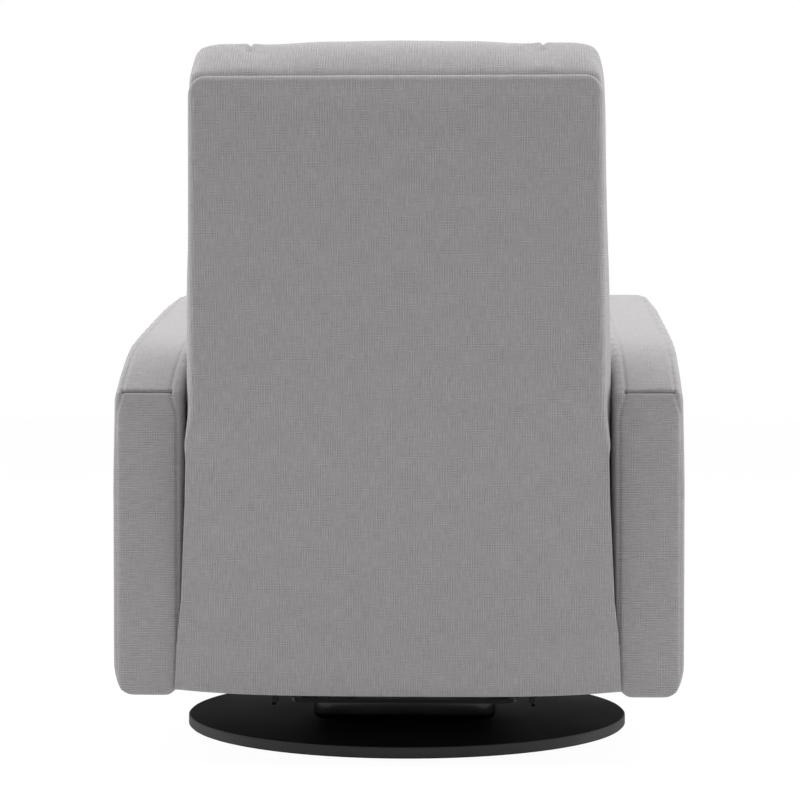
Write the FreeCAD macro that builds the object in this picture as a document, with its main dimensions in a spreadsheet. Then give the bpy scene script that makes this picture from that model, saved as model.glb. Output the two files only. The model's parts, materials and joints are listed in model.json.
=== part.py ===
import FreeCAD, Part
import math
import operator
import os
import Sketcher
from types import SimpleNamespace
from FreeCAD import Placement, Rotation, Vector

# Swivel rocker recliner, in millimetres and degrees.
# The floor is z = 0 under the swivel axis. The sitter faces -Y, and +X is the sitter's left.

SIZES = {
    # Whole chair
    "overall_width": 764,
    "seating_fit": 0.3,
    "bolt_fit": 0.1,
    "running_fit": 0.06,
    # Round base
    "felt_thickness": 1,
    "felt_setback": 10,
    "base_radius": 328,
    "base_thickness": 16,
    "base_chamfer": 2,
    # Swivel bearing
    "race_flange_radius": 88,
    "race_flange_thickness": 3,
    "race_ring_width": 14,
    "race_gap": 5,
    "ball_circle": 62,
    "ball_radius": 5,
    "ball_play": 0.2,
    "ball_height": 16,
    "king_bolt_radius": 8,
    "king_head_radius": 15,
    "king_head_height": 6,
    "base_bolt_radius": 4,
    "base_bolt_circle": 79,
    "base_bolt_bite": 11,
    "carriage_bolt_circle": 40,
    "bolt_head_ratio": 1.7,
    # Swivel pan and carriage plate
    "pan_width": 266,
    "pan_lift": 5,
    "pan_height": 28,
    "pan_wall": 2.5,
    "pan_corner": 28,
    "pan_edge": 9,
    "pan_mouth_radius": 93,
    "carriage_width": 325,
    "carriage_depth": 300,
    "carriage_thickness": 6,
    "carriage_corner": 18,
    # Rocking pivot
    "rock_height": 92,
    "rock_shaft_radius": 8,
    "rock_bush_wall": 3,
    "rock_bush_flange": 3,
    "stand_place": 150,
    "stand_thickness": 6,
    "stand_length": 116,
    "stand_foot": 26,
    "stand_eye": 18,
    "collar_width": 8,
    "collar_wall": 6,
    "rock_spring_across": 95,
    "rock_spring_along": 120,
    "rock_spring_radius": 15,
    "rock_spring_wire": 2.4,
    "rock_spring_turns": 5,
    "rock_spring_height": 74,
    # Steel side plates, tubes and spring bars of the chair's underframe
    "side_plate_place": 187,
    "side_plate_thickness": 5,
    "side_plate_nose": 30,
    "side_plate_tail": 35,
    "side_plate_below_shaft": 24,
    "side_plate_above_tube": 28,
    "side_plate_corner": 16,
    "tab_along": 150,
    "tab_width": 20,
    "tab_low": 47,
    "cross_tube_radius": 16,
    "cross_tube_wall": 2.5,
    "cross_tube_plug": 24,
    "cross_tube_height": 138,
    "front_tube_gap": 55,
    "rear_tube_inset": 95,
    "spring_bar_width": 64,
    "spring_bar_thickness": 3,
    "spring_bar_leg_low": 53,
    # Arms
    "arm_width": 92,
    "arm_front": 392,
    "arm_rear": 395,
    "arm_bottom": 99,
    "arm_seam_height": 503,
    "arm_roll_depth": 175,
    "arm_shoulder_height": 566,
    "arm_crest_setback": 142,
    "arm_crest_height": 642,
    "arm_nose_height": 521,
    "arm_corner": 26,
    "arm_edge": 13,
    "arm_inner_padding": 16,
    "arm_panel_thickness": 24,
    "arm_panel_inset": 22,
    "arm_rear_padding": 12,
    "arm_open_lift": 12,
    "arm_open_above_rail": 21,
    "arm_bolt_radius": 5,
    "arm_bolt_head_radius": 10,
    "arm_bolt_head_height": 6,
    "apron_thickness": 30,
    "apron_height": 62,
    "apron_lift": 6,
    "wood_edge": 3,
    # Lower flap of the outside back
    "flap_lift": 3,
    "flap_below_pivot": 33,
    "flap_arm_gap": 2.5,
    "flap_taper": 6.5,
    "flap_thickness": 4,
    "flap_flare": 25,
    # Seat
    "seat_travel": 65,
    "runner_depth": 22,
    "runner_height": 30,
    "runner_wall": 2.5,
    "runner_low": 220,
    "runner_end_room": 22,
    "runner_rear_inset": 65,
    "runner_play": 0.25,
    "seat_rail_width": 22,
    "seat_rail_height": 40,
    "seat_rail_wall": 2,
    "seat_rail_lift": 2,
    "seat_front_gap": 6,
    "seat_rear_setback": 19,
    "seat_side_gap": 5.7,
    "seat_cross_width": 60,
    "seat_cross_height": 24,
    "glide_block_length": 46,
    "glide_front_setback": 250,
    "glide_rear_setback": 55,
    "glide_bolt_radius": 5,
    "seat_wire_radius": 1.8,
    "seat_wire_swing": 44,
    "cushion_arm_gap": 7,
    "cushion_overhang": 8,
    "cushion_pivot_gap": 141,
    "cushion_front_thickness": 144.1,
    "cushion_crown_thickness": 178.1,
    "cushion_rear_thickness": 156.1,
    "cushion_side_fall": 9,
    "cushion_edge": 14,
    # Footrest linkage, laid out from the drive pivot along a line raised by link_rise
    "drive_setback": 90,
    "drive_lift": 14,
    "link_length": 145,
    "link_width": 20,
    "link_thickness": 4,
    "link_gap": 1,
    "link_rivet_radius": 4,
    "link_rivet_head": 2,
    "link_rise": 8,
    "link_closed_angle": 78,
    "link_open_angle": 15,
    "plate_gap": 3,
    "torque_tube_radius": 9,
    "torque_tube_wall": 2,
    "mount_plate_thickness": 4,
    "mount_plate_back": 26,
    "mount_plate_ahead": 22,
    "board_turn": 90,
    "tilt_arm_ahead": 6,
    # Footrest
    "footboard_arm_gap": 20,
    "footboard_thickness": 15,
    "footpad_thickness": 62,
    "footboard_low": 108,
    "footboard_high": 258,
    "bracket_flange": 44,
    "bracket_thickness": 4,
    "footpad_arm_gap": 7,
    "footpad_low": 104,
    "footpad_high": 268,
    "footpad_overhang": 6,
    "footpad_edge": 12,
    "footpad_side_fall": 6,
    "footpad_round": 24,
    # Back, laid out from the recline pivot along the leaning back
    "recline_inset": 30,
    "recline_below_seam": 33,
    "back_rake": 9,
    "back_arm_gap": 10,
    "back_taper": 13,
    "back_drop": 165,
    "back_border_height": 461,
    "back_crest_rise": 33,
    "back_crest_share": 0.6,
    "back_ahead": 96,
    "back_behind": 46,
    "back_crown": 14,
    "back_bolster_crown": 5,
    "back_bolster_width": 73,
    "back_seam_depth": 4,
    "back_edge": 12,
    "back_panel_thickness": 4.5,
    "post_width": 26,
    "post_depth": 66,
    "post_arm_gap": 41,
    "post_below_border": 33,
    "back_rail_depth": 24,
    "back_rail_height": 52,
    "back_wire_radius": 1.8,
    "back_wire_swing": 40,
    "recline_bolt_radius": 6,
    "recline_bush_wall": 3,
    # Release handle in its cup on the outer face of the right arm
    "cup_along": 236,
    "cup_height": 442,
    "cup_length": 118,
    "cup_tall": 66,
    "cup_depth": 30,
    "cup_wall": 3,
    "cup_corner": 14,
    "cup_lip": 7,
    "cup_lip_thickness": 2,
    "handle_thickness": 5,
    "handle_play": 1.5,
    "handle_pin_radius": 3,
}

doc = FreeCAD.newDocument("swivel_rocker_recliner")
sheet = doc.addObject("Spreadsheet::Sheet", "Sizes")
for row, (alias, number) in enumerate(SIZES.items(), start=1):
    sheet.set(f"A{row}", alias)
    sheet.set(f"B{row}", str(number))
    sheet.setAlias(f"B{row}", alias)
doc.recompute()

OPERATIONS = {"+": operator.add, "-": operator.sub, "*": operator.mul, "/": operator.truediv}


class Size:
    """A size with the text of its spreadsheet formula and its present number."""

    def __init__(self, text, number):
        self.text = text
        self.number = number

    def __add__(self, other):
        return combine(self, "+", other)

    def __radd__(self, other):
        return combine(other, "+", self)

    def __sub__(self, other):
        return combine(self, "-", other)

    def __rsub__(self, other):
        return combine(other, "-", self)

    def __mul__(self, other):
        return combine(self, "*", other)

    def __rmul__(self, other):
        return combine(other, "*", self)

    def __truediv__(self, other):
        return combine(self, "/", other)

    def __neg__(self):
        return combine(0, "-", self)

    def __float__(self):
        return float(self.number)


def size(thing):
    if isinstance(thing, Size):
        return thing
    return Size(f"({float(thing)})", float(thing))


def combine(left, sign, right):
    left, right = size(left), size(right)
    number = OPERATIONS[sign](left.number, right.number)
    return Size(f"({left.text} {sign} {right.text})", number)


def sine(angle):
    return Size(f"sin({angle.text})", math.sin(math.radians(angle.number)))


def cosine(angle):
    return Size(f"cos({angle.text})", math.cos(math.radians(angle.number)))


def root(square):
    return Size(f"sqrt({square.text})", math.sqrt(square.number))


dim = SimpleNamespace(**{alias: Size(f"Sizes.{alias}", sheet.get(alias)) for alias in SIZES})
# The same sizes as plain numbers, for the shaped solids that sketches don't suit
num = SimpleNamespace(**{alias: float(sheet.get(alias)) for alias in SIZES})


# Sizes that follow from the driving ones, each from its neighbour and a named gap

def follow(alias, formula):
    setattr(dim, alias, size(formula))
    setattr(num, alias, float(formula))
    return formula


arm_inner = dim.overall_width / 2 - dim.arm_width
arm_outer = dim.overall_width / 2
follow("apron_low", dim.arm_bottom + dim.apron_lift)
follow("flap_low", dim.arm_bottom + dim.flap_lift)
follow("flap_low_width", 2 * (arm_inner - dim.flap_arm_gap))
follow("flap_high_width", dim.flap_low_width - 2 * dim.flap_taper)
follow("recline_along", dim.arm_rear - dim.recline_inset)
follow("recline_height", dim.arm_seam_height - dim.recline_below_seam)
follow("flap_high", dim.recline_height - dim.flap_below_pivot)
follow("back_low_width", 2 * (arm_inner - dim.back_arm_gap))
follow("back_top_width", dim.back_low_width - 2 * dim.back_taper)
follow("back_crest_height", dim.back_border_height + dim.back_crest_rise)
follow("back_seam_place", dim.back_top_width / 2 - dim.back_bolster_width)
follow("post_top", dim.back_border_height - dim.post_below_border)
follow("footpad_width", 2 * (arm_inner - dim.footpad_arm_gap))
follow("footpad_front", dim.arm_front + dim.footpad_overhang)
follow("footboard_width", 2 * (arm_inner - dim.footboard_arm_gap))
follow("footboard_along", dim.footpad_front - dim.footpad_thickness)
follow("cushion_width", 2 * (arm_inner - dim.cushion_arm_gap))
follow("cushion_front", dim.arm_front + dim.cushion_overhang)
follow("cushion_rear", dim.recline_along - dim.cushion_pivot_gap)
follow("seat_front", dim.footboard_along - dim.seat_front_gap)
follow("seat_rear", dim.cushion_rear - dim.seat_rear_setback)
follow("seat_rail_low", dim.runner_low + dim.seat_rail_lift)
follow("glide_block_front", dim.seat_front - dim.glide_front_setback)
follow("glide_block_rear", dim.seat_rear - dim.glide_rear_setback)
follow("glide_reach", dim.glide_block_front + dim.glide_block_length / 2 + dim.seat_travel)
follow("runner_front", dim.glide_reach + dim.runner_end_room)
follow("runner_rear", dim.arm_rear - dim.runner_rear_inset)
follow("drive_along", dim.seat_front - dim.drive_setback)
follow("drive_height", dim.seat_rail_low + dim.drive_lift)
follow("front_tube_along", dim.drive_along - dim.front_tube_gap)
follow("rear_tube_along", dim.arm_rear - dim.rear_tube_inset)
follow("side_plate_front", dim.front_tube_along + dim.side_plate_nose)
follow("side_plate_rear", dim.rear_tube_along + dim.side_plate_tail)
follow("side_plate_low", dim.rock_height - dim.side_plate_below_shaft)
follow("side_plate_high", dim.cross_tube_height + dim.side_plate_above_tube)


# Shared places, worked out once from the driving sizes

base_top = dim.felt_thickness + dim.base_thickness
pan_low = base_top + dim.pan_lift
pan_high = pan_low + dim.pan_height
deck_top = pan_high + dim.carriage_thickness
ball_level = base_top + dim.ball_height
spring_top = deck_top + dim.rock_spring_height + 2 * dim.seating_fit

plate_inner = dim.side_plate_place - dim.side_plate_thickness / 2
plate_outer = dim.side_plate_place + dim.side_plate_thickness / 2
bush_radius = dim.rock_shaft_radius + dim.running_fit + dim.rock_bush_wall

panel_inner = arm_inner + dim.arm_inner_padding
panel_outer = panel_inner + dim.arm_panel_thickness
apron_rear = dim.arm_rear - dim.flap_thickness - dim.seating_fit
apron_middle = apron_rear - dim.apron_thickness * 0.6
apron_level = dim.apron_low + dim.apron_height / 2

runner_level = dim.runner_low + dim.runner_height / 2
runner_mouth = panel_inner - dim.runner_depth
rail_outer = runner_mouth - dim.seat_side_gap
rail_inner = rail_outer - dim.seat_rail_width
rail_high = dim.seat_rail_low + dim.seat_rail_height
cross_top = rail_high + dim.seat_cross_height
wire_top = cross_top + 2 * dim.seat_wire_radius
cushion_low = wire_top + dim.seating_fit
follow("cushion_front_height", cushion_low + dim.cushion_front_thickness)
follow("cushion_crown_height", cushion_low + dim.cushion_crown_thickness)
follow("cushion_rear_height", cushion_low + dim.cushion_rear_thickness)
follow("arm_open_low", dim.arm_bottom + dim.arm_open_lift)
follow("arm_open_height", rail_high + dim.arm_open_above_rail)

# Layers of the footrest linkage, from the seat rail inwards
mount_inner = rail_inner - dim.mount_plate_thickness
drive_outer = mount_inner - dim.plate_gap
drive_inner = drive_outer - dim.link_thickness
cross_outer = drive_inner - dim.link_gap
cross_inner = cross_outer - dim.link_thickness
tilt_outer = cross_inner - dim.link_gap
tilt_inner = tilt_outer - dim.link_thickness
bracket_outer = tilt_inner - dim.link_gap
bracket_inner = bracket_outer - dim.bracket_thickness

closed_reach = dim.link_length * cosine(dim.link_closed_angle)
closed_drop = dim.link_length * sine(dim.link_closed_angle)
open_drop = dim.link_length * sine(dim.link_open_angle)
rise_cos = cosine(dim.link_rise)
rise_sin = sine(dim.link_rise)


def linkage_point(ahead, above):
    """Place in Y and Z of a point of the closed linkage, from the drive pivot along its rising line."""
    along = -dim.drive_along - ahead * rise_cos + above * rise_sin
    height = dim.drive_height + ahead * rise_sin + above * rise_cos
    return along, height


drive_pivot = linkage_point(size(0), size(0))
slide_pin = linkage_point(size(0), -closed_drop)
first_cross = linkage_point(closed_reach / 2, -closed_drop / 2)
first_upper = linkage_point(closed_reach, size(0))
first_lower = linkage_point(closed_reach, -closed_drop)
second_cross = linkage_point(closed_reach * 1.5, -closed_drop / 2)
board_pivot = linkage_point(closed_reach * 2, size(0))
second_lower = linkage_point(closed_reach * 2, -closed_drop)

# The tilt link keeps its length when the board has turned and the linkage is open
turned_ahead = 2 * open_drop * dim.tilt_arm_ahead * sine(dim.board_turn)
turned_below = 2 * closed_drop - 2 * open_drop * cosine(dim.board_turn)
tilt_arm_below = (closed_drop * closed_drop - open_drop * open_drop - turned_ahead) / turned_below
tilt_rise = closed_drop - tilt_arm_below
tilt_length = root(dim.tilt_arm_ahead * dim.tilt_arm_ahead + tilt_rise * tilt_rise)
tilt_lean = Size(
    f"(atan({tilt_rise.text} / {dim.tilt_arm_ahead.text}) / 1 deg)",
    math.degrees(math.atan(float(tilt_rise) / float(dim.tilt_arm_ahead))),
)
tilt_pin = linkage_point(closed_reach * 2 + dim.tilt_arm_ahead, -tilt_arm_below)

# Recline pivot: bolt in the arm panel, bush in the back post
bush_outer_radius = dim.recline_bolt_radius + dim.running_fit + dim.recline_bush_wall
post_outer = arm_inner - dim.post_arm_gap
post_inner = post_outer - dim.post_width


# Modelling helpers

def bind(thing, **formulas):
    for path, formula in formulas.items():
        thing.setExpression(path.replace("__", "."), size(formula).text)
    return thing


def place(thing, across=0, along=0, height=0):
    return bind(thing, Placement__Base__x=across, Placement__Base__y=along, Placement__Base__z=height)


def lean(thing, angle, along, height):
    """Set a body at a pivot and turn it about the X axis so that its front rises by an angle."""
    pivot = Vector(0, float(along), float(height))
    thing.Placement = Placement(pivot, Rotation(Vector(-1, 0, 0), float(angle)))
    bind(thing, Placement__Rotation__Angle=angle)
    return place(thing, 0, along, height)


def new_body(label):
    body = doc.addObject("PartDesign::Body", label)
    body.Label = label
    return body


def new_sketch(body, role, offset=0):
    sketch = body.newObject("Sketcher::SketchObject", f"{body.Name}_sketch")
    plane = next(feature for feature in body.Origin.OriginFeatures if feature.Role == role)
    sketch.AttachmentSupport = [(plane, "")]
    sketch.MapMode = "FlatFace"
    bind(sketch, AttachmentOffset__Base__z=offset)
    return sketch


def hold_point(sketch, geometry, end, across, up):
    """Tie a point of the sketch to its two coordinates, or to an axis where one is zero."""
    for kind, axis, coordinate in (("DistanceX", -2, size(across)), ("DistanceY", -1, size(up))):
        if abs(coordinate.number) < 1e-9:
            sketch.addConstraint(Sketcher.Constraint("PointOnObject", geometry, end, axis))
        else:
            index = sketch.addConstraint(
                Sketcher.Constraint(kind, -1, 1, geometry, end, coordinate.number)
            )
            sketch.setExpression(f"Constraints[{index}]", coordinate.text)


def hold_radius(sketch, geometry, radius):
    index = sketch.addConstraint(Sketcher.Constraint("Radius", geometry, float(radius)))
    sketch.setExpression(f"Constraints[{index}]", size(radius).text)


def outline(sketch, corners):
    first = sketch.GeometryCount
    count = len(corners)
    points = [Vector(float(across), float(up), 0) for across, up in corners]
    for index in range(count):
        sketch.addGeometry(Part.LineSegment(points[index], points[(index + 1) % count]), False)
    for index in range(count):
        following = first + (index + 1) % count
        sketch.addConstraint(Sketcher.Constraint("Coincident", first + index, 2, following, 1))
    for index, (across, up) in enumerate(corners):
        hold_point(sketch, first + index, 1, across, up)


def rectangle(sketch, left, right, low, high):
    outline(sketch, [(left, low), (right, low), (right, high), (left, high)])


def ring(sketch, across, up, radius):
    index = sketch.addGeometry(
        Part.Circle(Vector(float(across), float(up), 0), Vector(0, 0, 1), float(radius)), False
    )
    hold_radius(sketch, index, radius)
    hold_point(sketch, index, 3, across, up)


def rounded_bar(sketch, start, end, radius):
    """Outline of a level bar with half-round ends, from centre to centre on the sketch's X axis."""
    left, right, half = float(start), float(end), float(radius)
    first = sketch.GeometryCount
    quarter = math.pi / 2
    sketch.addGeometry(Part.LineSegment(Vector(left, -half, 0), Vector(right, -half, 0)), False)
    right_circle = Part.Circle(Vector(right, 0, 0), Vector(0, 0, 1), half)
    sketch.addGeometry(Part.ArcOfCircle(right_circle, -quarter, quarter), False)
    sketch.addGeometry(Part.LineSegment(Vector(right, half, 0), Vector(left, half, 0)), False)
    left_circle = Part.Circle(Vector(left, 0, 0), Vector(0, 0, 1), half)
    sketch.addGeometry(Part.ArcOfCircle(left_circle, quarter, 3 * quarter), False)
    for index in range(4):
        following = first + (index + 1) % 4
        sketch.addConstraint(Sketcher.Constraint("Tangent", first + index, 2, following, 1))
    hold_radius(sketch, first + 1, radius)
    hold_point(sketch, first + 1, 3, end, 0)
    hold_point(sketch, first + 3, 3, start, 0)


def pad(body, sketch, length, against=False):
    feature = body.newObject("PartDesign::Pad", f"{body.Name}_pad")
    feature.Profile = sketch
    feature.Reversed = against
    bind(feature, Length=length)
    doc.recompute()
    return feature


def edge_names(shape, test):
    return [f"Edge{index}" for index, edge in enumerate(shape.Edges, start=1) if test(edge)]


def runs_along(axis):
    def test(edge):
        if not isinstance(edge.Curve, Part.Line):
            return False
        return abs(abs(edge.Curve.Direction.dot(axis)) - 1) < 1e-6
    return test


def fillet(body, radius, test):
    doc.recompute()
    base = body.Tip
    feature = body.newObject("PartDesign::Fillet", f"{body.Name}_fillet")
    feature.Base = (base, edge_names(base.Shape, test))
    bind(feature, Radius=radius)
    doc.recompute()
    return feature


def turned(label, axis, corners):
    """Body turned about its own X or Z axis from corners given as (place on the axis, radius)."""
    body = new_body(label)
    sketch = new_sketch(body, "XZ_Plane")
    if axis == "X":
        outline(sketch, corners)
    else:
        outline(sketch, [(radius, height) for height, radius in corners])
    turn = body.newObject("PartDesign::Revolution", f"{label}_turn")
    turn.Profile = sketch
    turn.ReferenceAxis = (sketch, ["H_Axis" if axis == "X" else "V_Axis"])
    turn.Angle = 360
    doc.recompute()
    return body


def bar(label, across, along, height, edge=None):
    """Straight bar of wood or steel between pairs of places, with its long edges eased."""
    body = new_body(label)
    sketch = new_sketch(body, "YZ_Plane", across[0])
    rectangle(sketch, along[0], along[1], height[0], height[1])
    pad(body, sketch, across[1] - across[0])
    if edge is not None:
        fillet(body, edge, runs_along(Vector(1, 0, 0)))
    return body


def mirrored(source, label):
    twin = doc.addObject("Part::Mirroring", label)
    twin.Label = label
    twin.Source = source
    twin.Normal = Vector(1, 0, 0)
    return twin


def group(label, members):
    compound = doc.addObject("Part::Compound", label)
    compound.Label = label
    compound.Links = members
    return compound


def pair(label, left):
    return group(label, [left, mirrored(left, f"{label}_twin")])


def shaped(label, shape):
    feature = doc.addObject("Part::Feature", label)
    feature.Label = label
    feature.Shape = shape
    feature.Placement = Placement()
    return feature


def round_trip(start, *steps):
    """Closed wire from a start point through steps: a point for a line, or two points for an arc."""
    edges = []
    here = start
    for step in steps:
        if len(step) == 1:
            edges.append(Part.LineSegment(here, step[0]).toShape())
        else:
            edges.append(Part.Arc(here, step[0], step[1]).toShape())
        here = step[-1]
    return Part.Wire(edges)


def loft(wires):
    """Solid through closed outlines, drawn straight from each to the next."""
    solid = Part.makeLoft(wires, True, True)
    if solid.Volume < 0:
        solid.reverse()
    return solid


def rounded_side(edge):
    """Steps round a soft edge, as (distance from the side, inset of the outline)."""
    angles = [math.radians(angle) for angle in (0, 30, 60, 90)]
    return [(edge * (1 - math.cos(angle)), edge * (1 - math.sin(angle))) for angle in angles]


def between(first, last, bulge):
    """Middle point of an arc from first to last that swells by a vector."""
    return (first + last) * 0.5 + bulge


nodes = []


def keep(feature):
    nodes.append(feature)
    return feature


# Round base on a sheet of felt

def make_base():
    radius = dim.base_radius
    soft = radius - dim.base_chamfer
    disc = turned("base_disc", "Z", [
        (dim.felt_thickness, size(0)),
        (dim.felt_thickness, soft),
        (dim.felt_thickness + dim.base_chamfer, radius),
        (base_top - dim.base_chamfer, radius),
        (base_top, soft),
        (base_top, size(0)),
    ])
    holes = new_sketch(disc, "XY_Plane", base_top)
    for quarter in range(4):
        across, along = bolt_spot(dim.base_bolt_circle, quarter)
        ring(holes, across, along, dim.base_bolt_radius + dim.bolt_fit)
    cut = disc.newObject("PartDesign::Pocket", "base_bolt_holes")
    cut.Profile = holes
    bind(cut, Length=dim.base_bolt_bite + dim.bolt_fit)
    keep(disc)
    felt = doc.addObject("Part::Cylinder", "base_felt")
    felt.Label = "base_felt"
    bind(felt, Radius=dim.base_radius - dim.felt_setback, Height=dim.felt_thickness)
    keep(felt)


def bolt_spot(circle, quarter):
    angle = size(90 * quarter + 45)
    return circle * cosine(angle), circle * sine(angle)


# Swivel bearing: two races, a ring of balls, the king bolt and the bolts that hold it

def ball_groove(race):
    """Ball track cut into a race."""
    sketch = new_sketch(race, "XZ_Plane")
    ring(sketch, dim.ball_circle, ball_level, dim.ball_radius + dim.ball_play)
    groove = race.newObject("PartDesign::Groove", f"{race.Name}_track")
    groove.Profile = sketch
    groove.ReferenceAxis = (sketch, ["V_Axis"])
    groove.Angle = 360
    doc.recompute()


def bolt_holes(body, top, circle, radius, depth):
    """Four round holes cut downwards from a level face."""
    sketch = new_sketch(body, "XY_Plane", top)
    for quarter in range(4):
        across, along = bolt_spot(circle, quarter)
        ring(sketch, across, along, radius)
    cut = body.newObject("PartDesign::Pocket", f"{body.Name}_bolt_holes")
    cut.Profile = sketch
    bind(cut, Length=depth)
    doc.recompute()


def upright_bolts(label, circle, seat_level, grip):
    """Four bolts with round heads on a level face."""
    head = dim.base_bolt_radius * dim.bolt_head_ratio
    bolts = []
    for quarter in range(4):
        across, along = bolt_spot(circle, quarter)
        bolt = turned(f"{label}_{quarter}", "Z", [
            (-grip, size(0)),
            (-grip, dim.base_bolt_radius),
            (size(0), dim.base_bolt_radius),
            (size(0), head),
            (dim.base_bolt_radius, head),
            (dim.base_bolt_radius, size(0)),
        ])
        bolts.append(place(bolt, across, along, seat_level))
    return group(label, bolts)


def make_swivel():
    ring_inner = dim.ball_circle - dim.race_ring_width / 2
    ring_outer = dim.ball_circle + dim.race_ring_width / 2
    bore = dim.king_bolt_radius + dim.running_fit
    flange_top = base_top + dim.race_flange_thickness
    lower = turned("swivel_lower_race", "Z", [
        (base_top, bore),
        (base_top, dim.race_flange_radius),
        (flange_top, dim.race_flange_radius),
        (flange_top, ring_outer),
        (ball_level - dim.race_gap / 2, ring_outer),
        (ball_level - dim.race_gap / 2, ring_inner),
        (flange_top, ring_inner),
        (flange_top, bore),
    ])
    ball_groove(lower)
    hole = dim.base_bolt_radius + dim.bolt_fit
    bolt_holes(lower, flange_top, dim.base_bolt_circle, hole, dim.race_flange_thickness)
    keep(lower)
    flange_low = pan_high - dim.race_flange_thickness
    upper = turned("swivel_upper_race", "Z", [
        (pan_high, bore),
        (pan_high, dim.race_flange_radius),
        (flange_low, dim.race_flange_radius),
        (flange_low, ring_outer),
        (ball_level + dim.race_gap / 2, ring_outer),
        (ball_level + dim.race_gap / 2, ring_inner),
        (flange_low, ring_inner),
        (flange_low, bore),
    ])
    ball_groove(upper)
    bolt_holes(upper, pan_high, dim.carriage_bolt_circle, hole, dim.race_flange_thickness)
    keep(upper)
    balls = []
    count = int(2 * math.pi * num.ball_circle / (2.6 * num.ball_radius))
    for turn in range(count):
        angle = size(360 / count * turn)
        ball = doc.addObject("Part::Sphere", "ball")
        bind(ball, Radius=dim.ball_radius)
        across, along = dim.ball_circle * cosine(angle), dim.ball_circle * sine(angle)
        balls.append(place(ball, across, along, ball_level))
    keep(group("swivel_balls", balls))
    keep(upright_bolts(
        "swivel_base_bolts", dim.base_bolt_circle, flange_top,
        dim.race_flange_thickness + dim.base_bolt_bite,
    ))
    keep(turned("king_bolt", "Z", [
        (base_top + dim.seating_fit, size(0)),
        (base_top + dim.seating_fit, dim.king_bolt_radius),
        (deck_top, dim.king_bolt_radius),
        (deck_top, dim.king_head_radius),
        (deck_top + dim.king_head_height, dim.king_head_radius),
        (deck_top + dim.king_head_height, size(0)),
    ]))
    keep(upright_bolts(
        "carriage_bolts", dim.carriage_bolt_circle, deck_top,
        dim.carriage_thickness + dim.race_flange_thickness,
    ))


# Stamped pan that hides the bearing, and the plate that carries the rocking stands

def make_carriage():
    upright = Vector(0, 0, 1)
    half = dim.pan_width / 2
    pan = new_body("swivel_pan")
    sketch = new_sketch(pan, "XY_Plane", pan_low)
    rectangle(sketch, -half, half, -half, half)
    pad(pan, sketch, dim.pan_height)
    fillet(pan, dim.pan_corner, runs_along(upright))
    low = float(pan_low)
    fillet(pan, dim.pan_edge, lambda edge: edge.BoundBox.ZMax < low + 0.01)
    block = pan.Tip
    high = float(pan_high)
    lid = next(
        index for index, face in enumerate(block.Shape.Faces, start=1) if face.BoundBox.ZMin > high - 0.01
    )
    shell = pan.newObject("PartDesign::Thickness", "swivel_pan_shell")
    shell.Base = (block, [f"Face{lid}"])
    shell.Reversed = True
    bind(shell, Value=dim.pan_wall)
    doc.recompute()
    mouth = new_sketch(pan, "XY_Plane", pan_low + dim.pan_wall)
    ring(mouth, 0, 0, dim.pan_mouth_radius)
    opening = pan.newObject("PartDesign::Pocket", "swivel_pan_mouth")
    opening.Profile = mouth
    bind(opening, Length=dim.pan_wall * 2)
    keep(pan)

    plate = new_body("carriage_plate")
    sketch = new_sketch(plate, "XY_Plane", pan_high)
    wide, deep = dim.carriage_width / 2, dim.carriage_depth / 2
    rectangle(sketch, -wide, wide, -deep, deep)
    ring(sketch, 0, 0, dim.king_bolt_radius + dim.running_fit)
    for quarter in range(4):
        across, along = bolt_spot(dim.carriage_bolt_circle, quarter)
        ring(sketch, across, along, dim.base_bolt_radius + dim.bolt_fit)
    pad(plate, sketch, dim.carriage_thickness)
    corner = Vector(num.carriage_width / 2, num.carriage_depth / 2, 0).Length
    fillet(plate, dim.carriage_corner, lambda edge: runs_along(upright)(edge)
           and Vector(edge.CenterOfMass.x, edge.CenterOfMass.y, 0).Length > corner - 1)
    keep(plate)


# Rocking stands, shaft, collars, bushes and coil springs

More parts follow.
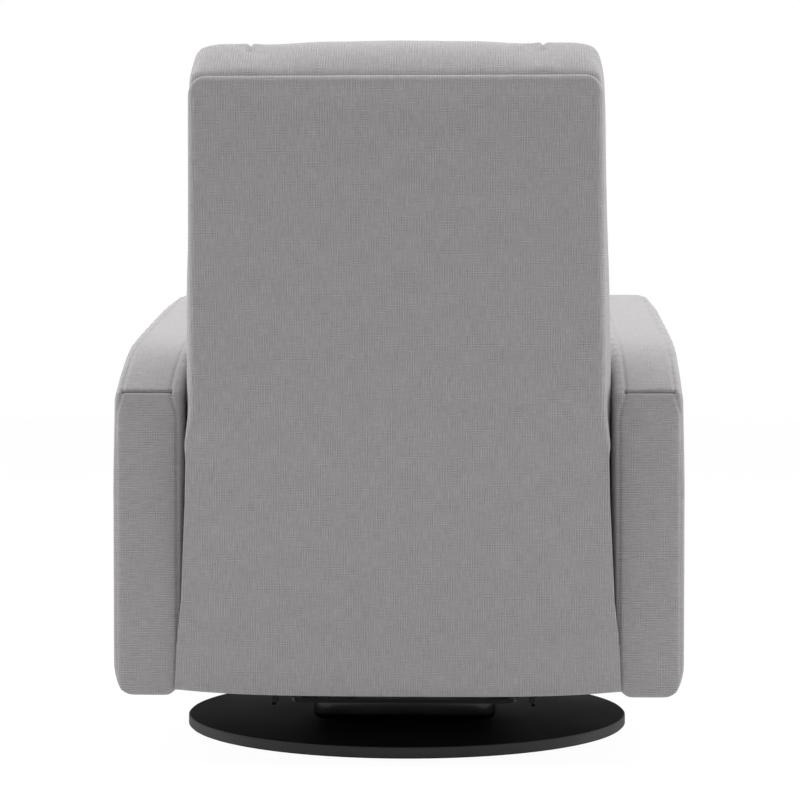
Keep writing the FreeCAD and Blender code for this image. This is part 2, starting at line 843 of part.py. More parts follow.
def make_rocker():
    stand = new_body("rock_stand")
    face = dim.stand_place - dim.stand_thickness / 2
    sketch = new_sketch(stand, "YZ_Plane", face)
    foot_top = deck_top + dim.stand_thickness
    reach = dim.stand_length / 2
    outline(sketch, [
        (-reach, deck_top),
        (reach, deck_top),
        (reach, foot_top),
        (dim.stand_eye, dim.rock_height + dim.stand_eye),
        (-dim.stand_eye, dim.rock_height + dim.stand_eye),
        (-reach, foot_top),
    ])
    ring(sketch, 0, dim.rock_height, dim.rock_shaft_radius + dim.bolt_fit)
    pad(stand, sketch, dim.stand_thickness)
    eye_top = float(dim.rock_height + dim.stand_eye)
    fillet(stand, dim.stand_eye * 0.8, lambda edge: runs_along(Vector(1, 0, 0))(edge)
           and edge.CenterOfMass.z > eye_top - 0.01)
    foot = new_sketch(stand, "XY_Plane", deck_top)
    rectangle(foot, face - dim.stand_foot, face, -reach, reach)
    pad(stand, foot, dim.stand_thickness)
    keep(pair("rock_stands", stand))

    collar_start = plate_outer + dim.seating_fit
    shaft_end = collar_start + dim.collar_width + dim.base_chamfer
    shaft = turned("rock_shaft", "X", [
        (-shaft_end, size(0)),
        (-shaft_end, dim.rock_shaft_radius),
        (shaft_end, dim.rock_shaft_radius),
        (shaft_end, size(0)),
    ])
    keep(place(shaft, 0, 0, dim.rock_height))
    collar = turned("shaft_collar", "X", [
        (collar_start, dim.rock_shaft_radius + dim.bolt_fit),
        (collar_start + dim.collar_width, dim.rock_shaft_radius + dim.bolt_fit),
        (collar_start + dim.collar_width, dim.rock_shaft_radius + dim.collar_wall),
        (collar_start, dim.rock_shaft_radius + dim.collar_wall),
    ])
    keep(pair("shaft_collars", place(collar, 0, 0, dim.rock_height)))
    bore = dim.rock_shaft_radius + dim.running_fit
    bush = turned("rock_bush", "X", [
        (plate_inner - dim.rock_bush_flange, bore),
        (plate_outer, bore),
        (plate_outer, bush_radius),
        (plate_inner, bush_radius),
        (plate_inner, bush_radius + dim.rock_bush_wall),
        (plate_inner - dim.rock_bush_flange, bush_radius + dim.rock_bush_wall),
    ])
    keep(pair("rock_bushes", place(bush, 0, 0, dim.rock_height)))
    keep(shaped("rock_springs", Part.makeCompound(rock_springs())))


def rock_springs():
    """Four coil springs between the carriage plate and the spring bars, each one unbroken tube."""
    wire = num.rock_spring_wire
    start = float(deck_top) + num.seating_fit + wire
    rise = num.rock_spring_height - 2 * wire
    halves = int(2 * num.rock_spring_turns)
    radius = num.rock_spring_radius

    def spot(half_turns):
        angle = math.pi * half_turns
        height = start + rise * half_turns / halves
        return Vector(radius * math.cos(angle), radius * math.sin(angle), height)

    arcs = [Part.Arc(spot(0.5 * quarter), spot(0.5 * quarter + 0.25), spot(0.5 * quarter + 0.5)).toShape()
            for quarter in range(2 * halves)]
    path = Part.Wire(arcs)
    section = Part.Wire(Part.Circle(spot(0), Vector(0, 1, 0), wire).toShape())
    spring = path.makePipeShell([section], True, False)
    pitch = rise / num.rock_spring_turns
    print("least gap of the rocking springs to themselves:", round(pitch - 2 * wire, 2), "mm")
    springs = []
    for across in (-num.rock_spring_across, num.rock_spring_across):
        for along in (-num.rock_spring_along, num.rock_spring_along):
            copy = spring.copy()
            copy.translate(Vector(across, along, 0))
            springs.append(copy)
    return springs


# Underframe of the chair: side plates, cross tubes, spring bars and the rear apron rail

def make_underframe():
    left = new_body("left_side_plate")
    sketch = new_sketch(left, "YZ_Plane", plate_inner)
    low, high = dim.side_plate_low, dim.side_plate_high
    tab_rear = dim.tab_along + dim.tab_width / 2
    tab_front = dim.tab_along - dim.tab_width / 2
    shallow = low + (high - low) / 3
    outline(sketch, [
        (-dim.side_plate_front, shallow),
        (-dim.side_plate_front * 0.4, low),
        (tab_front, low),
        (tab_front, dim.tab_low),
        (tab_rear, dim.tab_low),
        (tab_rear, low),
        (dim.side_plate_rear, shallow),
        (dim.side_plate_rear, high),
        (-dim.side_plate_front, high),
    ])
    ring(sketch, 0, dim.rock_height, bush_radius)
    for along in (-dim.front_tube_along, dim.rear_tube_along):
        ring(sketch, along, dim.cross_tube_height, dim.cross_tube_radius + dim.bolt_fit)
    pad(left, sketch, dim.side_plate_thickness)
    top = num.side_plate_high
    fillet(left, dim.side_plate_corner, lambda edge: runs_along(Vector(1, 0, 0))(edge)
           and edge.CenterOfMass.z > top - 0.01)
    tip = num.tab_low
    fillet(left, dim.tab_width / 4, lambda edge: runs_along(Vector(1, 0, 0))(edge)
           and edge.CenterOfMass.z < tip + 0.01)
    keep(left)
    keep(mirrored(left, "right_side_plate"))

    tubes = {"front_cross_tube": -dim.front_tube_along, "rear_cross_tube": dim.rear_tube_along}
    for label, along in tubes.items():
        inner = dim.cross_tube_radius - dim.cross_tube_wall
        plug = panel_inner - dim.cross_tube_plug
        thread = dim.arm_bolt_radius + dim.bolt_fit
        tube = turned(label, "X", [
            (-panel_inner, dim.cross_tube_radius),
            (-panel_inner, thread),
            (-plug, thread),
            (-plug, inner),
            (plug, inner),
            (plug, thread),
            (panel_inner, thread),
            (panel_inner, dim.cross_tube_radius),
        ])
        keep(place(tube, 0, along, dim.cross_tube_height))

    legs = plate_inner - dim.spring_bar_thickness
    crown = new_body("spring_bar")
    sketch = new_sketch(crown, "XZ_Plane", -(dim.rock_spring_along + dim.spring_bar_width / 2))
    rectangle(sketch, -plate_inner, plate_inner, spring_top, spring_top + dim.spring_bar_thickness)
    pad(crown, sketch, dim.spring_bar_width)
    foot = new_sketch(crown, "XZ_Plane", -(dim.tab_along + dim.tab_width / 2))
    rectangle(foot, legs, plate_inner, dim.spring_bar_leg_low, spring_top)
    rectangle(foot, -plate_inner, -legs, dim.spring_bar_leg_low, spring_top)
    pad(crown, foot, dim.tab_width)
    front = doc.addObject("Part::Mirroring", "front_spring_bar")
    front.Source = crown
    front.Normal = Vector(0, 1, 0)
    keep(group("spring_bars", [crown, front]))

    apron = bar(
        "rear_apron_rail", (-panel_inner, panel_inner),
        (apron_rear - dim.apron_thickness, apron_rear),
        (dim.apron_low, dim.apron_low + dim.apron_height), dim.wood_edge,
    )
    ends = new_sketch(apron, "YZ_Plane", panel_inner)
    ring(ends, apron_middle, apron_level, dim.arm_bolt_radius + dim.bolt_fit)
    bite = dim.cross_tube_plug
    near = apron.newObject("PartDesign::Pocket", "rear_apron_left_hole")
    near.Profile = ends
    bind(near, Length=bite)
    far_ends = new_sketch(apron, "YZ_Plane", -panel_inner)
    ring(far_ends, apron_middle, apron_level, dim.arm_bolt_radius + dim.bolt_fit)
    far = apron.newObject("PartDesign::Pocket", "rear_apron_right_hole")
    far.Profile = far_ends
    far.Reversed = True
    bind(far, Length=bite)
    keep(apron)


# Arms: plywood panel, bolts and the padded cover

def arm_bolt_spots():
    return [
        (-dim.front_tube_along, dim.cross_tube_height),
        (dim.rear_tube_along, dim.cross_tube_height),
        (apron_middle, apron_level),
    ]


def touching_middle(start, direction, end):
    """Middle of the arc that leaves start along a direction and reaches end."""
    span = end - start
    normal = Vector(0, -direction.z, direction.y)
    radius = span.dot(span) / (2 * normal.dot(span))
    centre = start + normal * radius
    outward = (start - centre).normalize() + (end - centre).normalize()
    return centre + outward.normalize() * abs(radius)


def arm_wire(across, inset, rear_inset):
    """Side outline of an arm: flat bottom, rear face, rear roll, rising top, rounded nose and front."""
    front = -num.arm_front + inset
    rear = num.arm_rear - rear_inset
    low = num.arm_bottom + inset
    corner = num.arm_corner
    slant = corner * (1 - math.sqrt(0.5))
    shoulder = Vector(across, num.arm_rear - num.arm_roll_depth, num.arm_shoulder_height)
    crest = Vector(across, num.arm_crest_setback - num.arm_front, num.arm_crest_height)
    rising = (crest - shoulder).normalize()
    inward = Vector(0, rising.z, -rising.y) * inset
    if inward.z > 0:
        inward = -inward
    shoulder = shoulder + inward
    crest = crest + inward
    seam = Vector(across, rear, num.arm_seam_height - inset / 2)
    nose = Vector(across, front, num.arm_nose_height)
    return round_trip(
        Vector(across, front + corner, low),
        (Vector(across, rear - corner, low),),
        (Vector(across, rear - slant, low + slant), Vector(across, rear, low + corner)),
        (seam,),
        (touching_middle(shoulder, -rising, seam), shoulder),
        (crest,),
        (touching_middle(crest, rising, nose), nose),
        (Vector(across, front, low + corner),),
        (Vector(across, front + slant, low + slant), Vector(across, front + corner, low)),
    )


def arm_form():
    """Padded arm with soft edges, on the sitter's left."""
    inner, outer = float(arm_inner), float(arm_outer)
    steps = rounded_side(num.arm_edge)
    wires = [arm_wire(inner + step, inset, inset) for step, inset in steps]
    wires += [arm_wire(outer - step, inset, inset) for step, inset in reversed(steps)]
    return loft(wires)


def prism(wire, start, length):
    """Solid from a closed outline moved to a place on X and drawn out along X."""
    face = Part.Face(wire)
    face.translate(Vector(start, 0, 0))
    return face.extrude(Vector(length, 0, 0))


def pin(radius, start, end, along, height):
    return Part.makeCylinder(radius, end - start, Vector(start, along, height), Vector(1, 0, 0))


def make_arms():
    bolt_hole = num.arm_bolt_radius + num.bolt_fit
    inner, outer = float(panel_inner), float(panel_outer)
    panel_wire = arm_wire(0, num.arm_panel_inset, num.arm_rear_padding)
    panel = prism(panel_wire, inner, outer - inner)
    for along, height in arm_bolt_spots():
        panel = panel.cut(pin(bolt_hole, inner - 1, outer + 1, float(along), float(height)))
    recline = num.recline_bolt_radius + num.bolt_fit
    panel = panel.cut(pin(recline, inner - 1, outer + 1, num.recline_along, num.recline_height))
    left_panel = keep(shaped("left_arm_panel", panel))
    keep(mirrored(left_panel, "right_arm_panel"))

    fit = num.seating_fit
    cavity_wire = arm_wire(0, num.arm_panel_inset - fit, num.arm_rear_padding - fit)
    cavity = prism(cavity_wire, inner - fit, outer - inner + 2 * fit)
    wall = inner - float(arm_inner) + 1
    bare_front = 2 * num.arm_panel_inset - num.arm_front
    bare_rear = num.arm_rear - 2 * num.arm_panel_inset
    opening = Part.makeBox(
        wall, bare_rear - bare_front, num.arm_open_height - num.arm_open_low,
        Vector(float(arm_inner) - 1, bare_front, num.arm_open_low),
    )
    notch = Part.makeBox(
        wall, num.apron_thickness + 2 * fit, num.apron_height + 2 * fit,
        Vector(float(arm_inner) - 1, float(apron_rear) - num.apron_thickness - fit, num.apron_low - fit),
    )
    padding = arm_form().cut(cavity).cut(opening).cut(notch)
    head_room = num.arm_bolt_head_radius + num.bolt_fit * 5
    for along, height in arm_bolt_spots():
        recess = pin(head_room, outer, outer + num.arm_bolt_head_height + fit, float(along), float(height))
        padding = padding.cut(recess)
    pivot = (num.recline_along, num.recline_height)
    recess = pin(head_room, outer, outer + num.arm_bolt_head_height + fit, *pivot)
    sleeve = pin(num.recline_bolt_radius * 1.5, float(arm_inner) - 1, inner + 1, *pivot)
    padding = padding.cut(recess).cut(sleeve)
    keep(shaped("left_arm_pad", padding))
    twin = padding.mirror(Vector(0, 0, 0), Vector(1, 0, 0))
    keep(shaped("right_arm_pad", twin.cut(cup_room())))

    bolts = []
    for along, height in arm_bolt_spots():
        reach = panel_inner - dim.cross_tube_plug + dim.bolt_fit
        head_top = panel_outer + dim.arm_bolt_head_height
        bolt = turned("arm_bolt", "X", [
            (reach, size(0)),
            (reach, dim.arm_bolt_radius),
            (panel_outer, dim.arm_bolt_radius),
            (panel_outer, dim.arm_bolt_head_radius),
            (head_top, dim.arm_bolt_head_radius),
            (head_top, size(0)),
        ])
        place(bolt, 0, along, height)
        bolts += [bolt, mirrored(bolt, "arm_bolt_twin")]
    keep(group("arm_bolts", bolts))


# Lower flap: the loose end of the outside back, hemmed to the apron rail between the arms

def make_flap():
    rear = num.arm_rear
    inner = rear - num.flap_thickness
    flare = num.flap_flare

    def level(half, height, out):
        swell = Vector(0, 2.5, 0)
        right_rear = Vector(-half, rear + out, height)
        left_rear = Vector(half, rear + out, height)
        left_front = Vector(half, inner + out, height)
        right_front = Vector(-half, inner + out, height)
        return round_trip(
            right_rear,
            (between(right_rear, left_rear, swell), left_rear),
            (left_front,),
            (between(left_front, right_front, swell), right_front),
            (right_rear,),
        )

    low, high = num.flap_low, num.flap_high
    narrow, wide = num.flap_high_width / 2, num.flap_low_width / 2
    middle = (low + high) / 2
    flap = loft([
        level(wide, low, 0),
        level(wide, low + num.apron_height, 0),
        level((narrow + wide) / 2, middle, flare * 0.45),
        level(narrow, high, flare),
    ])
    keep(shaped("lower_back_flap", flap))


# Seat: runners on the arm panels, sliding frame, wire springs and cushion

def make_seat_frame():
    runner = new_body("left_seat_runner")
    sketch = new_sketch(runner, "XZ_Plane", -dim.runner_rear)
    low, high, wall = dim.runner_low, dim.runner_low + dim.runner_height, dim.runner_wall
    outline(sketch, [
        (runner_mouth, low),
        (panel_inner, low),
        (panel_inner, high),
        (runner_mouth, high),
        (runner_mouth, high - wall),
        (panel_inner - wall, high - wall),
        (panel_inner - wall, low + wall),
        (runner_mouth, low + wall),
    ])
    pad(runner, sketch, dim.runner_rear + dim.runner_front)
    keep(runner)
    keep(mirrored(runner, "right_seat_runner"))

    rail = new_body("seat_rail")
    sketch = new_sketch(rail, "XZ_Plane", -dim.seat_rear)
    rectangle(sketch, rail_inner, rail_outer, dim.seat_rail_low, rail_high)
    wall = dim.seat_rail_wall
    rectangle(sketch, rail_inner + wall, rail_outer - wall, dim.seat_rail_low + wall, rail_high - wall)
    pad(rail, sketch, dim.seat_rear + dim.seat_front)
    keep(pair("seat_side_rails", rail))

    rails = {"seat_front_rail": -dim.seat_front, "seat_rear_rail": dim.seat_rear - dim.seat_cross_width}
    for label, start in rails.items():
        keep(bar(
            label, (-rail_outer, rail_outer), (start, start + dim.seat_cross_width),
            (rail_high, cross_top), dim.wood_edge,
        ))

    half = dim.runner_height / 2 - dim.runner_wall - dim.runner_play
    blocks = []
    bolts = []
    for along in (-dim.glide_block_front, dim.glide_block_rear):
        block = new_body("glide_block")
        sketch = new_sketch(block, "YZ_Plane", runner_mouth + dim.runner_play)
        reach = dim.glide_block_length / 2
        rectangle(sketch, along - reach, along + reach, runner_level - half, runner_level + half)
        ring(sketch, along, runner_level, dim.glide_bolt_radius + dim.bolt_fit)
        pad(block, sketch, dim.runner_depth - dim.runner_wall - 2 * dim.runner_play)
        fillet(block, half / 3, runs_along(Vector(1, 0, 0)))
        blocks += [block, mirrored(block, "glide_block_twin")]
        bolt_end = panel_inner - dim.runner_wall - dim.runner_play * 2
        bolt = turned("glide_bolt", "X", [
            (rail_outer, size(0)),
            (rail_outer, dim.glide_bolt_radius * 1.6),
            (runner_mouth, dim.glide_bolt_radius * 1.6),
            (runner_mouth, dim.glide_bolt_radius),
            (bolt_end, dim.glide_bolt_radius),
            (bolt_end, size(0)),
        ])
        place(bolt, 0, along, runner_level)
        bolts += [bolt, mirrored(bolt, "glide_bolt_twin")]
    keep(group("seat_glide_blocks", blocks))
    keep(group("seat_glide_bolts", bolts))
    keep(shaped("seat_springs", Part.makeCompound(seat_wires())))


def zigzag(start, step, swing, count, radius):
    """Sinuous spring: a wire that swings from side to side as it goes, with half-round bends."""
    across = step.cross(Vector(0, 0, 1)) if abs(step.z) < 1e-6 else Vector(1, 0, 0)
    across = across.normalize() * (swing / 2 - step.Length / 2)
    ahead = Vector(step).normalize() * (step.Length / 2)
    edges = []
    side = 1
    here = start + across
    for _ in range(count):
        turn_in = start + across * side
        bend = turn_in + across.normalize() * side * (step.Length / 2) + ahead
        turn_out = turn_in + step
        if here != turn_in:
            edges.append(Part.LineSegment(here, turn_in).toShape())
        edges.append(Part.Arc(turn_in, bend, turn_out).toShape())
        here = turn_out
        start = start + step
        side = -side
    path = Part.Wire(edges)
    section = Part.Wire(Part.Circle(edges[0].Vertexes[0].Point, edges[0].tangentAt(0), radius).toShape())
    return path.makePipeShell([section], True, False)


def seat_wires():
    count = 13
    start = -num.seat_front + num.seat_cross_width * 0.35
    end = num.seat_rear - num.seat_cross_width * 0.35
    step = Vector(0, (end - start) / count, 0)
    level = float(cross_top) + num.seat_wire_radius
    places = [-0.72, -0.36, 0, 0.36, 0.72]
    return [
        zigzag(Vector(place_share * float(rail_inner), start, level), step, num.seat_wire_swing, count,
               num.seat_wire_radius)
        for place_share in places
    ]


def seat_wire(across, inset):
    """Side outline of the seat cushion at one place across it, lower towards its sides."""
    fall = num.cushion_side_fall * (2 * across / num.cushion_width) ** 2 + inset
    front = -num.cushion_front + inset
    rear = num.cushion_rear - inset
    low = float(cushion_low) + inset * 0.5
    lip = num.cushion_front_height - fall
    top = num.cushion_crown_height - fall
    tail = num.cushion_rear_height - fall
    return round_trip(
        Vector(across, rear - 16, low),
        (Vector(across, front + 26, low),),
        (Vector(across, front + 8, low + 8), Vector(across, front, low + 26)),
        (Vector(across, front - 2, (low + lip) / 2 - 10), Vector(across, front + 6, lip - 44)),
        (Vector(across, front + 22, lip - 13), Vector(across, front + 62, lip + 4)),
        (Vector(across, (front + rear) / 2, top), Vector(across, rear - 34, tail)),
        (Vector(across, rear - 8, tail - 12), Vector(across, rear, tail - 38)),
        (Vector(across, rear, low + 16),),
        (Vector(across, rear - 5, low + 5), Vector(across, rear - 16, low)),
    )


def across_cushion(width, edge):
    """Places across a cushion from right to left, as (place, inset of the rounded sides)."""
    half = width / 2
    side = [(half - step, inset) for step, inset in rounded_side(edge)]
    left = side + [((half - edge) * share, 0) for share in (0.75, 0.5, 0.25)]
    return [(-across, inset) for across, inset in left] + [(0, 0)] + left[::-1]


def make_seat_cushion():
    places = across_cushion(num.cushion_width, num.cushion_edge)
    keep(shaped("seat_cushion", loft([seat_wire(*spot) for spot in places])))


# Footrest linkage: two pairs of crossing links each side, driven together by the torque tube

def link(label, outer, pivot, angle, holes, length):
    """Flat bar with round ends, laid forwards from its pivot and raised by an angle."""
    body = new_body(label)
    sketch = new_sketch(body, "YZ_Plane", outer - dim.link_thickness)
    rounded_bar(sketch, -length, size(0), dim.link_width / 2)
    for ahead, radius in holes:
        ring(sketch, -ahead, 0, radius)
    pad(body, sketch, dim.link_thickness)
    return lean(body, angle, *pivot)


def rivet(label, spot, inner, outer):
    """Rivet with its head on the outer side."""
    head = dim.link_rivet_radius * 1.7
    body = turned(label, "X", [
        (inner, size(0)),
        (inner, dim.link_rivet_radius),
        (outer, dim.link_rivet_radius),
        (outer, head),
        (outer + dim.link_rivet_head, head),
        (outer + dim.link_rivet_head, size(0)),
    ])
    return place(body, 0, *spot)


def rivets(label, spots):
    solids = []
    for index, (spot, inner, outer) in enumerate(spots):
        solid = rivet(f"{label}_{index}", spot, inner, outer)
        solids += [solid, mirrored(solid, f"{label}_twin_{index}")]
    return keep(group(label, solids))


def make_linkage():
    down = dim.link_rise - dim.link_closed_angle
    up = dim.link_rise + dim.link_closed_angle
    hole = dim.link_rivet_radius + dim.running_fit
    length = dim.link_length
    middle = length / 2
    tube_hole = dim.torque_tube_radius + dim.running_fit
    zero = size(0)

    plate = new_body("mount_plate")
    sketch = new_sketch(plate, "YZ_Plane", mount_inner)
    foot = closed_drop + dim.link_width / 2 + dim.mount_plate_thickness
    head = rail_high - dim.drive_height
    outline(sketch, [
        (-dim.mount_plate_ahead, -foot),
        (dim.link_width, -foot),
        (dim.mount_plate_back, zero),
        (dim.mount_plate_back, head),
        (-dim.mount_plate_ahead, head),
    ])
    ring(sketch, 0, 0, tube_hole)
    pad(plate, sketch, dim.mount_plate_thickness)
    slot = new_sketch(plate, "YZ_Plane", rail_inner)
    narrow = dim.link_rivet_radius + dim.bolt_fit
    slot_low = -closed_drop - narrow
    slot_high = -open_drop + narrow
    rectangle(slot, -narrow, narrow, slot_low, slot_high)
    cut = plate.newObject("PartDesign::Pocket", "mount_plate_slot")
    cut.Profile = slot
    bind(cut, Length=dim.mount_plate_thickness)
    doc.recompute()
    lean(plate, dim.link_rise, *drive_pivot)
    keep(pair("footrest_mount_plates", plate))

    tube = turned("torque_tube", "X", [
        (-rail_inner, dim.torque_tube_radius),
        (-rail_inner, dim.torque_tube_radius - dim.torque_tube_wall),
        (rail_inner, dim.torque_tube_radius - dim.torque_tube_wall),
        (rail_inner, dim.torque_tube_radius),
    ])
    keep(place(tube, 0, *drive_pivot))
    ends = [(middle, hole), (length, hole)]
    drive = link("drive_link", drive_outer, drive_pivot, down, [(zero, tube_hole)] + ends, length)
    keep(pair("drive_links", drive))
    three = [(zero, hole)] + ends
    keep(pair("cross_links", link("cross_link", cross_outer, slide_pin, up, three, length)))
    keep(pair("reach_links", link("reach_link", drive_outer, first_upper, down, three, length)))
    keep(pair("carry_links", link("carry_link", cross_outer, first_lower, up, three, length)))
    tilt_angle = dim.link_rise + tilt_lean
    two = [(zero, hole), (tilt_length, hole)]
    tilt = link("tilt_link", tilt_outer, second_lower, tilt_angle, two, tilt_length)
    keep(pair("tilt_links", tilt))

    rivets("drive_rivets", [
        (first_cross, cross_inner, drive_outer),
        (first_lower, cross_inner, drive_outer),
    ])
    rivets("cross_rivets", [
        (slide_pin, cross_inner, rail_inner),
        (first_upper, cross_inner, drive_outer),
    ])
    rivets("reach_rivets", [
        (second_cross, cross_inner, drive_outer),
        (second_lower, tilt_inner, drive_outer),
    ])
    rivets("carry_rivets", [(board_pivot, bracket_inner, cross_outer)])


# Footrest: board, brackets and pad

def make_footrest():
    board = bar(
        "footrest_board", (-dim.footboard_width / 2, dim.footboard_width / 2),
        (-dim.footboard_along - dim.footboard_thickness, -dim.footboard_along),
        (dim.footboard_low, dim.footboard_high), dim.wood_edge,
    )
    keep(board)
    bracket = new_body("footrest_bracket")
    sketch = new_sketch(bracket, "YZ_Plane", bracket_inner)
    half = dim.link_width / 2
    pivot_along, pivot_height = board_pivot
    pin_along, pin_height = tilt_pin
    face = -dim.footboard_along
    outline(sketch, [
        (face, pin_height - dim.link_width),
        (pin_along + half, pin_height - half),
        (pivot_along + half, pivot_height - half),
        (pivot_along + half, pivot_height + half),
        (face, pivot_height + half),
    ])
    ring(sketch, pivot_along, pivot_height, dim.link_rivet_radius + dim.running_fit)
    pad(bracket, sketch, dim.bracket_thickness)
    flange = new_sketch(bracket, "XZ_Plane", dim.footboard_along - dim.bracket_thickness)
    rectangle(flange, bracket_inner - dim.bracket_flange, bracket_inner,
              pin_height - dim.link_width, pivot_height + half)
    pad(bracket, flange, dim.bracket_thickness)
    keep(pair("footrest_brackets", bracket))

    places = across_cushion(num.footpad_width, num.footpad_edge)
    keep(shaped("footrest_pad", loft([footpad_wire(*spot) for spot in places])))


def footpad_wire(across, inset):
    """Side outline of the footrest pad: flat against its board, crowned in front."""
    rear = -num.footboard_along - num.footboard_thickness - num.seating_fit
    front = -num.footpad_front + inset + num.footpad_side_fall * (2 * across / num.footpad_width) ** 2
    low = num.footpad_low + inset
    high = num.footpad_high - inset
    depth = front - rear
    soft = num.footpad_round
    return round_trip(
        Vector(across, rear, low),
        (Vector(across, rear, high),),
        (Vector(across, rear + depth * 0.4, high),),
        (Vector(across, front + soft * 0.3, high - soft * 0.35), Vector(across, front, high - soft)),
        (Vector(across, front - 2, (low + high) / 2), Vector(across, front, low + soft)),
        (Vector(across, front + soft * 0.3, low + soft * 0.35), Vector(across, rear + depth * 0.4, low)),
        (Vector(across, rear, low),),
    )


# Back: posts, rails, wire springs, bushes, padded cushion and outside panel

def make_back():
    pivot = (dim.recline_along, dim.recline_height)
    rake = dim.back_rake
    low = -dim.back_drop + dim.back_edge
    behind = dim.back_behind - dim.seating_fit
    ahead = behind - dim.post_depth
    post = new_body("back_post")
    sketch = new_sketch(post, "YZ_Plane", post_inner)
    rectangle(sketch, ahead, behind, low, dim.post_top)
    ring(sketch, 0, 0, bush_outer_radius)
    pad(post, sketch, dim.post_width)
    fillet(post, dim.wood_edge, runs_along(Vector(0, 0, 1)))
    keep(pair("back_posts", lean(post, rake, *pivot)))

    rails = []
    depth = (behind - dim.back_rail_depth, behind)
    levels = (low, dim.post_top / 3, dim.post_top - dim.back_rail_height)
    for index, level in enumerate(levels):
        rail = bar(
            f"back_rail_{index}", (-post_inner, post_inner), depth,
            (level, level + dim.back_rail_height), dim.wood_edge,
        )
        rails.append(lean(rail, rake, *pivot))
    keep(group("back_rails", rails))

    bush = turned("recline_bush", "X", [
        (post_inner, dim.recline_bolt_radius + dim.running_fit),
        (post_outer, dim.recline_bolt_radius + dim.running_fit),
        (post_outer, bush_outer_radius),
        (post_inner, bush_outer_radius),
    ])
    keep(pair("recline_bushes", place(bush, 0, *pivot)))
    head_top = panel_outer + dim.arm_bolt_head_height
    bolt = turned("recline_bolt", "X", [
        (post_inner, size(0)),
        (post_inner, dim.recline_bolt_radius),
        (panel_outer, dim.recline_bolt_radius),
        (panel_outer, dim.arm_bolt_head_radius),
        (head_top, dim.arm_bolt_head_radius),
        (head_top, size(0)),
    ])
    keep(pair("recline_bolts", place(bolt, 0, *pivot)))

    to_chair = Placement(
        Vector(0, num.recline_along, num.recline_height), Rotation(Vector(1, 0, 0), -num.back_rake)
    )
    wires = shaped("back_springs", Part.makeCompound(back_wires(float(low), float(behind))))
    cushion = shaped("back_cushion", back_cushion(float(low), float(ahead)))
    panel = shaped("outside_back_panel", back_panel())
    for feature in (wires, cushion, panel):
        feature.Placement = to_chair
        keep(feature)


def back_wires(low, behind):
    count = 13
    start = low + num.back_rail_height * 0.4
    end = num.post_top - num.back_rail_height * 0.4
    step = Vector(0, 0, (end - start) / count)
    level = behind - num.back_rail_depth - num.back_wire_radius
    inner = float(post_inner)
    return [
        zigzag(Vector(share * inner, level, start), step, num.back_wire_swing, count, num.back_wire_radius)
        for share in (-0.72, -0.24, 0.24, 0.72)
    ]


def back_half_width(height):
    """Half width of the back, narrowing evenly from its lower end to its top."""
    share = (height + num.back_drop) / (num.back_border_height + num.back_drop)
    return (num.back_low_width + (num.back_top_width - num.back_low_width) * share) / 2


def back_wire(place_share, inset, crown):
    """Side outline of the back at one share of its half width, upright before it is leaned."""

    def point(along, height):
        return Vector(place_share * back_half_width(height), along, height)

    behind = num.back_behind
    front = -num.back_ahead + inset - crown
    low = -num.back_drop + inset * 0.6
    border = num.back_border_height - inset * 0.6
    crest = num.back_crest_height - inset + crown * num.back_crest_share
    return round_trip(
        point(behind, low + 4),
        (point(behind, border),),
        (point(behind - 28, crest - 18), point(behind - 70, crest)),
        (point(front + 20, crest - 22), point(front, crest - 78)),
        (point(front + 4, crest * 0.55), point(front + 6, crest * 0.3)),
        (point(front - 4, -10), point(front + 10, low + 44)),
        (point(front + 22, low + 12), point(front + 52, low)),
        (point(behind - 4, low),),
        (point(behind, low + 4),),
    )


def back_cushion(low, ahead):
    """Padded back with a bulging centre panel, two side bolsters and a pocket for its frame."""
    half = back_half_width(num.back_border_height)
    seam = num.back_seam_place / half
    right = [(1 - step / half, inset, 0) for step, inset in rounded_side(num.back_edge)]
    swell = num.back_bolster_crown
    for share in (0.7, 0.45, 0.2):
        right.append((seam + (1 - seam) * share, 0, swell * math.sin(math.pi * share)))
    right += [(seam, num.back_seam_depth, 0)]
    for share in (0.94, 0.8, 0.55, 0.28):
        right.append((seam * share, 0, num.back_crown * (1 - share ** 2)))
    sections = [(-share, inset, crown) for share, inset, crown in right]
    sections += [(0, 0, num.back_crown)] + right[::-1]
    form = loft([back_wire(*section) for section in sections])
    fit = num.seating_fit
    wide = float(post_outer) + fit
    spring_room = 2 * num.back_wire_radius + fit
    front = min(ahead, num.back_behind - fit - num.back_rail_depth - spring_room) - fit
    pocket = Part.makeBox(
        2 * wide, num.back_behind - front + 2, num.post_top - low + 2 * fit, Vector(-wide, front, low - fit)
    )
    bolt_room = pin(num.recline_bolt_radius * 1.5, -float(arm_inner), float(arm_inner), 0, 0)
    return form.cut(pocket).cut(bolt_room)


def back_panel():
    """Board of the outside back, behind the frame."""
    low = -num.back_drop + num.back_edge
    high = num.back_border_height - num.back_edge
    near = num.back_behind + num.seating_fit
    corners = []
    for side, height in ((-1, low), (1, low), (1, high), (-1, high)):
        corners.append(Vector(side * (back_half_width(height) - num.back_edge / 4), near, height))
    face = Part.Face(Part.makePolygon(corners + corners[:1]))
    return face.extrude(Vector(0, num.back_panel_thickness, 0))


# Release handle, hinged at the rear of a cup sunk in the outer face of the right arm

def rounded_block(start, depth, length, tall, corner):
    """Rounded rectangle around the cup's centre, drawn out along X."""
    block = Part.makeBox(
        depth, length, tall, Vector(start, -num.cup_along - length / 2, num.cup_height - tall / 2)
    )
    edges = [edge for edge in block.Edges if runs_along(Vector(1, 0, 0))(edge)]
    return block.makeFillet(corner, edges)


def cup_room():
    face = -num.overall_width / 2
    fit = num.seating_fit
    return rounded_block(
        face - 5, num.cup_depth + 5 + fit, num.cup_length + 2 * fit, num.cup_tall + 2 * fit, num.cup_corner
    )


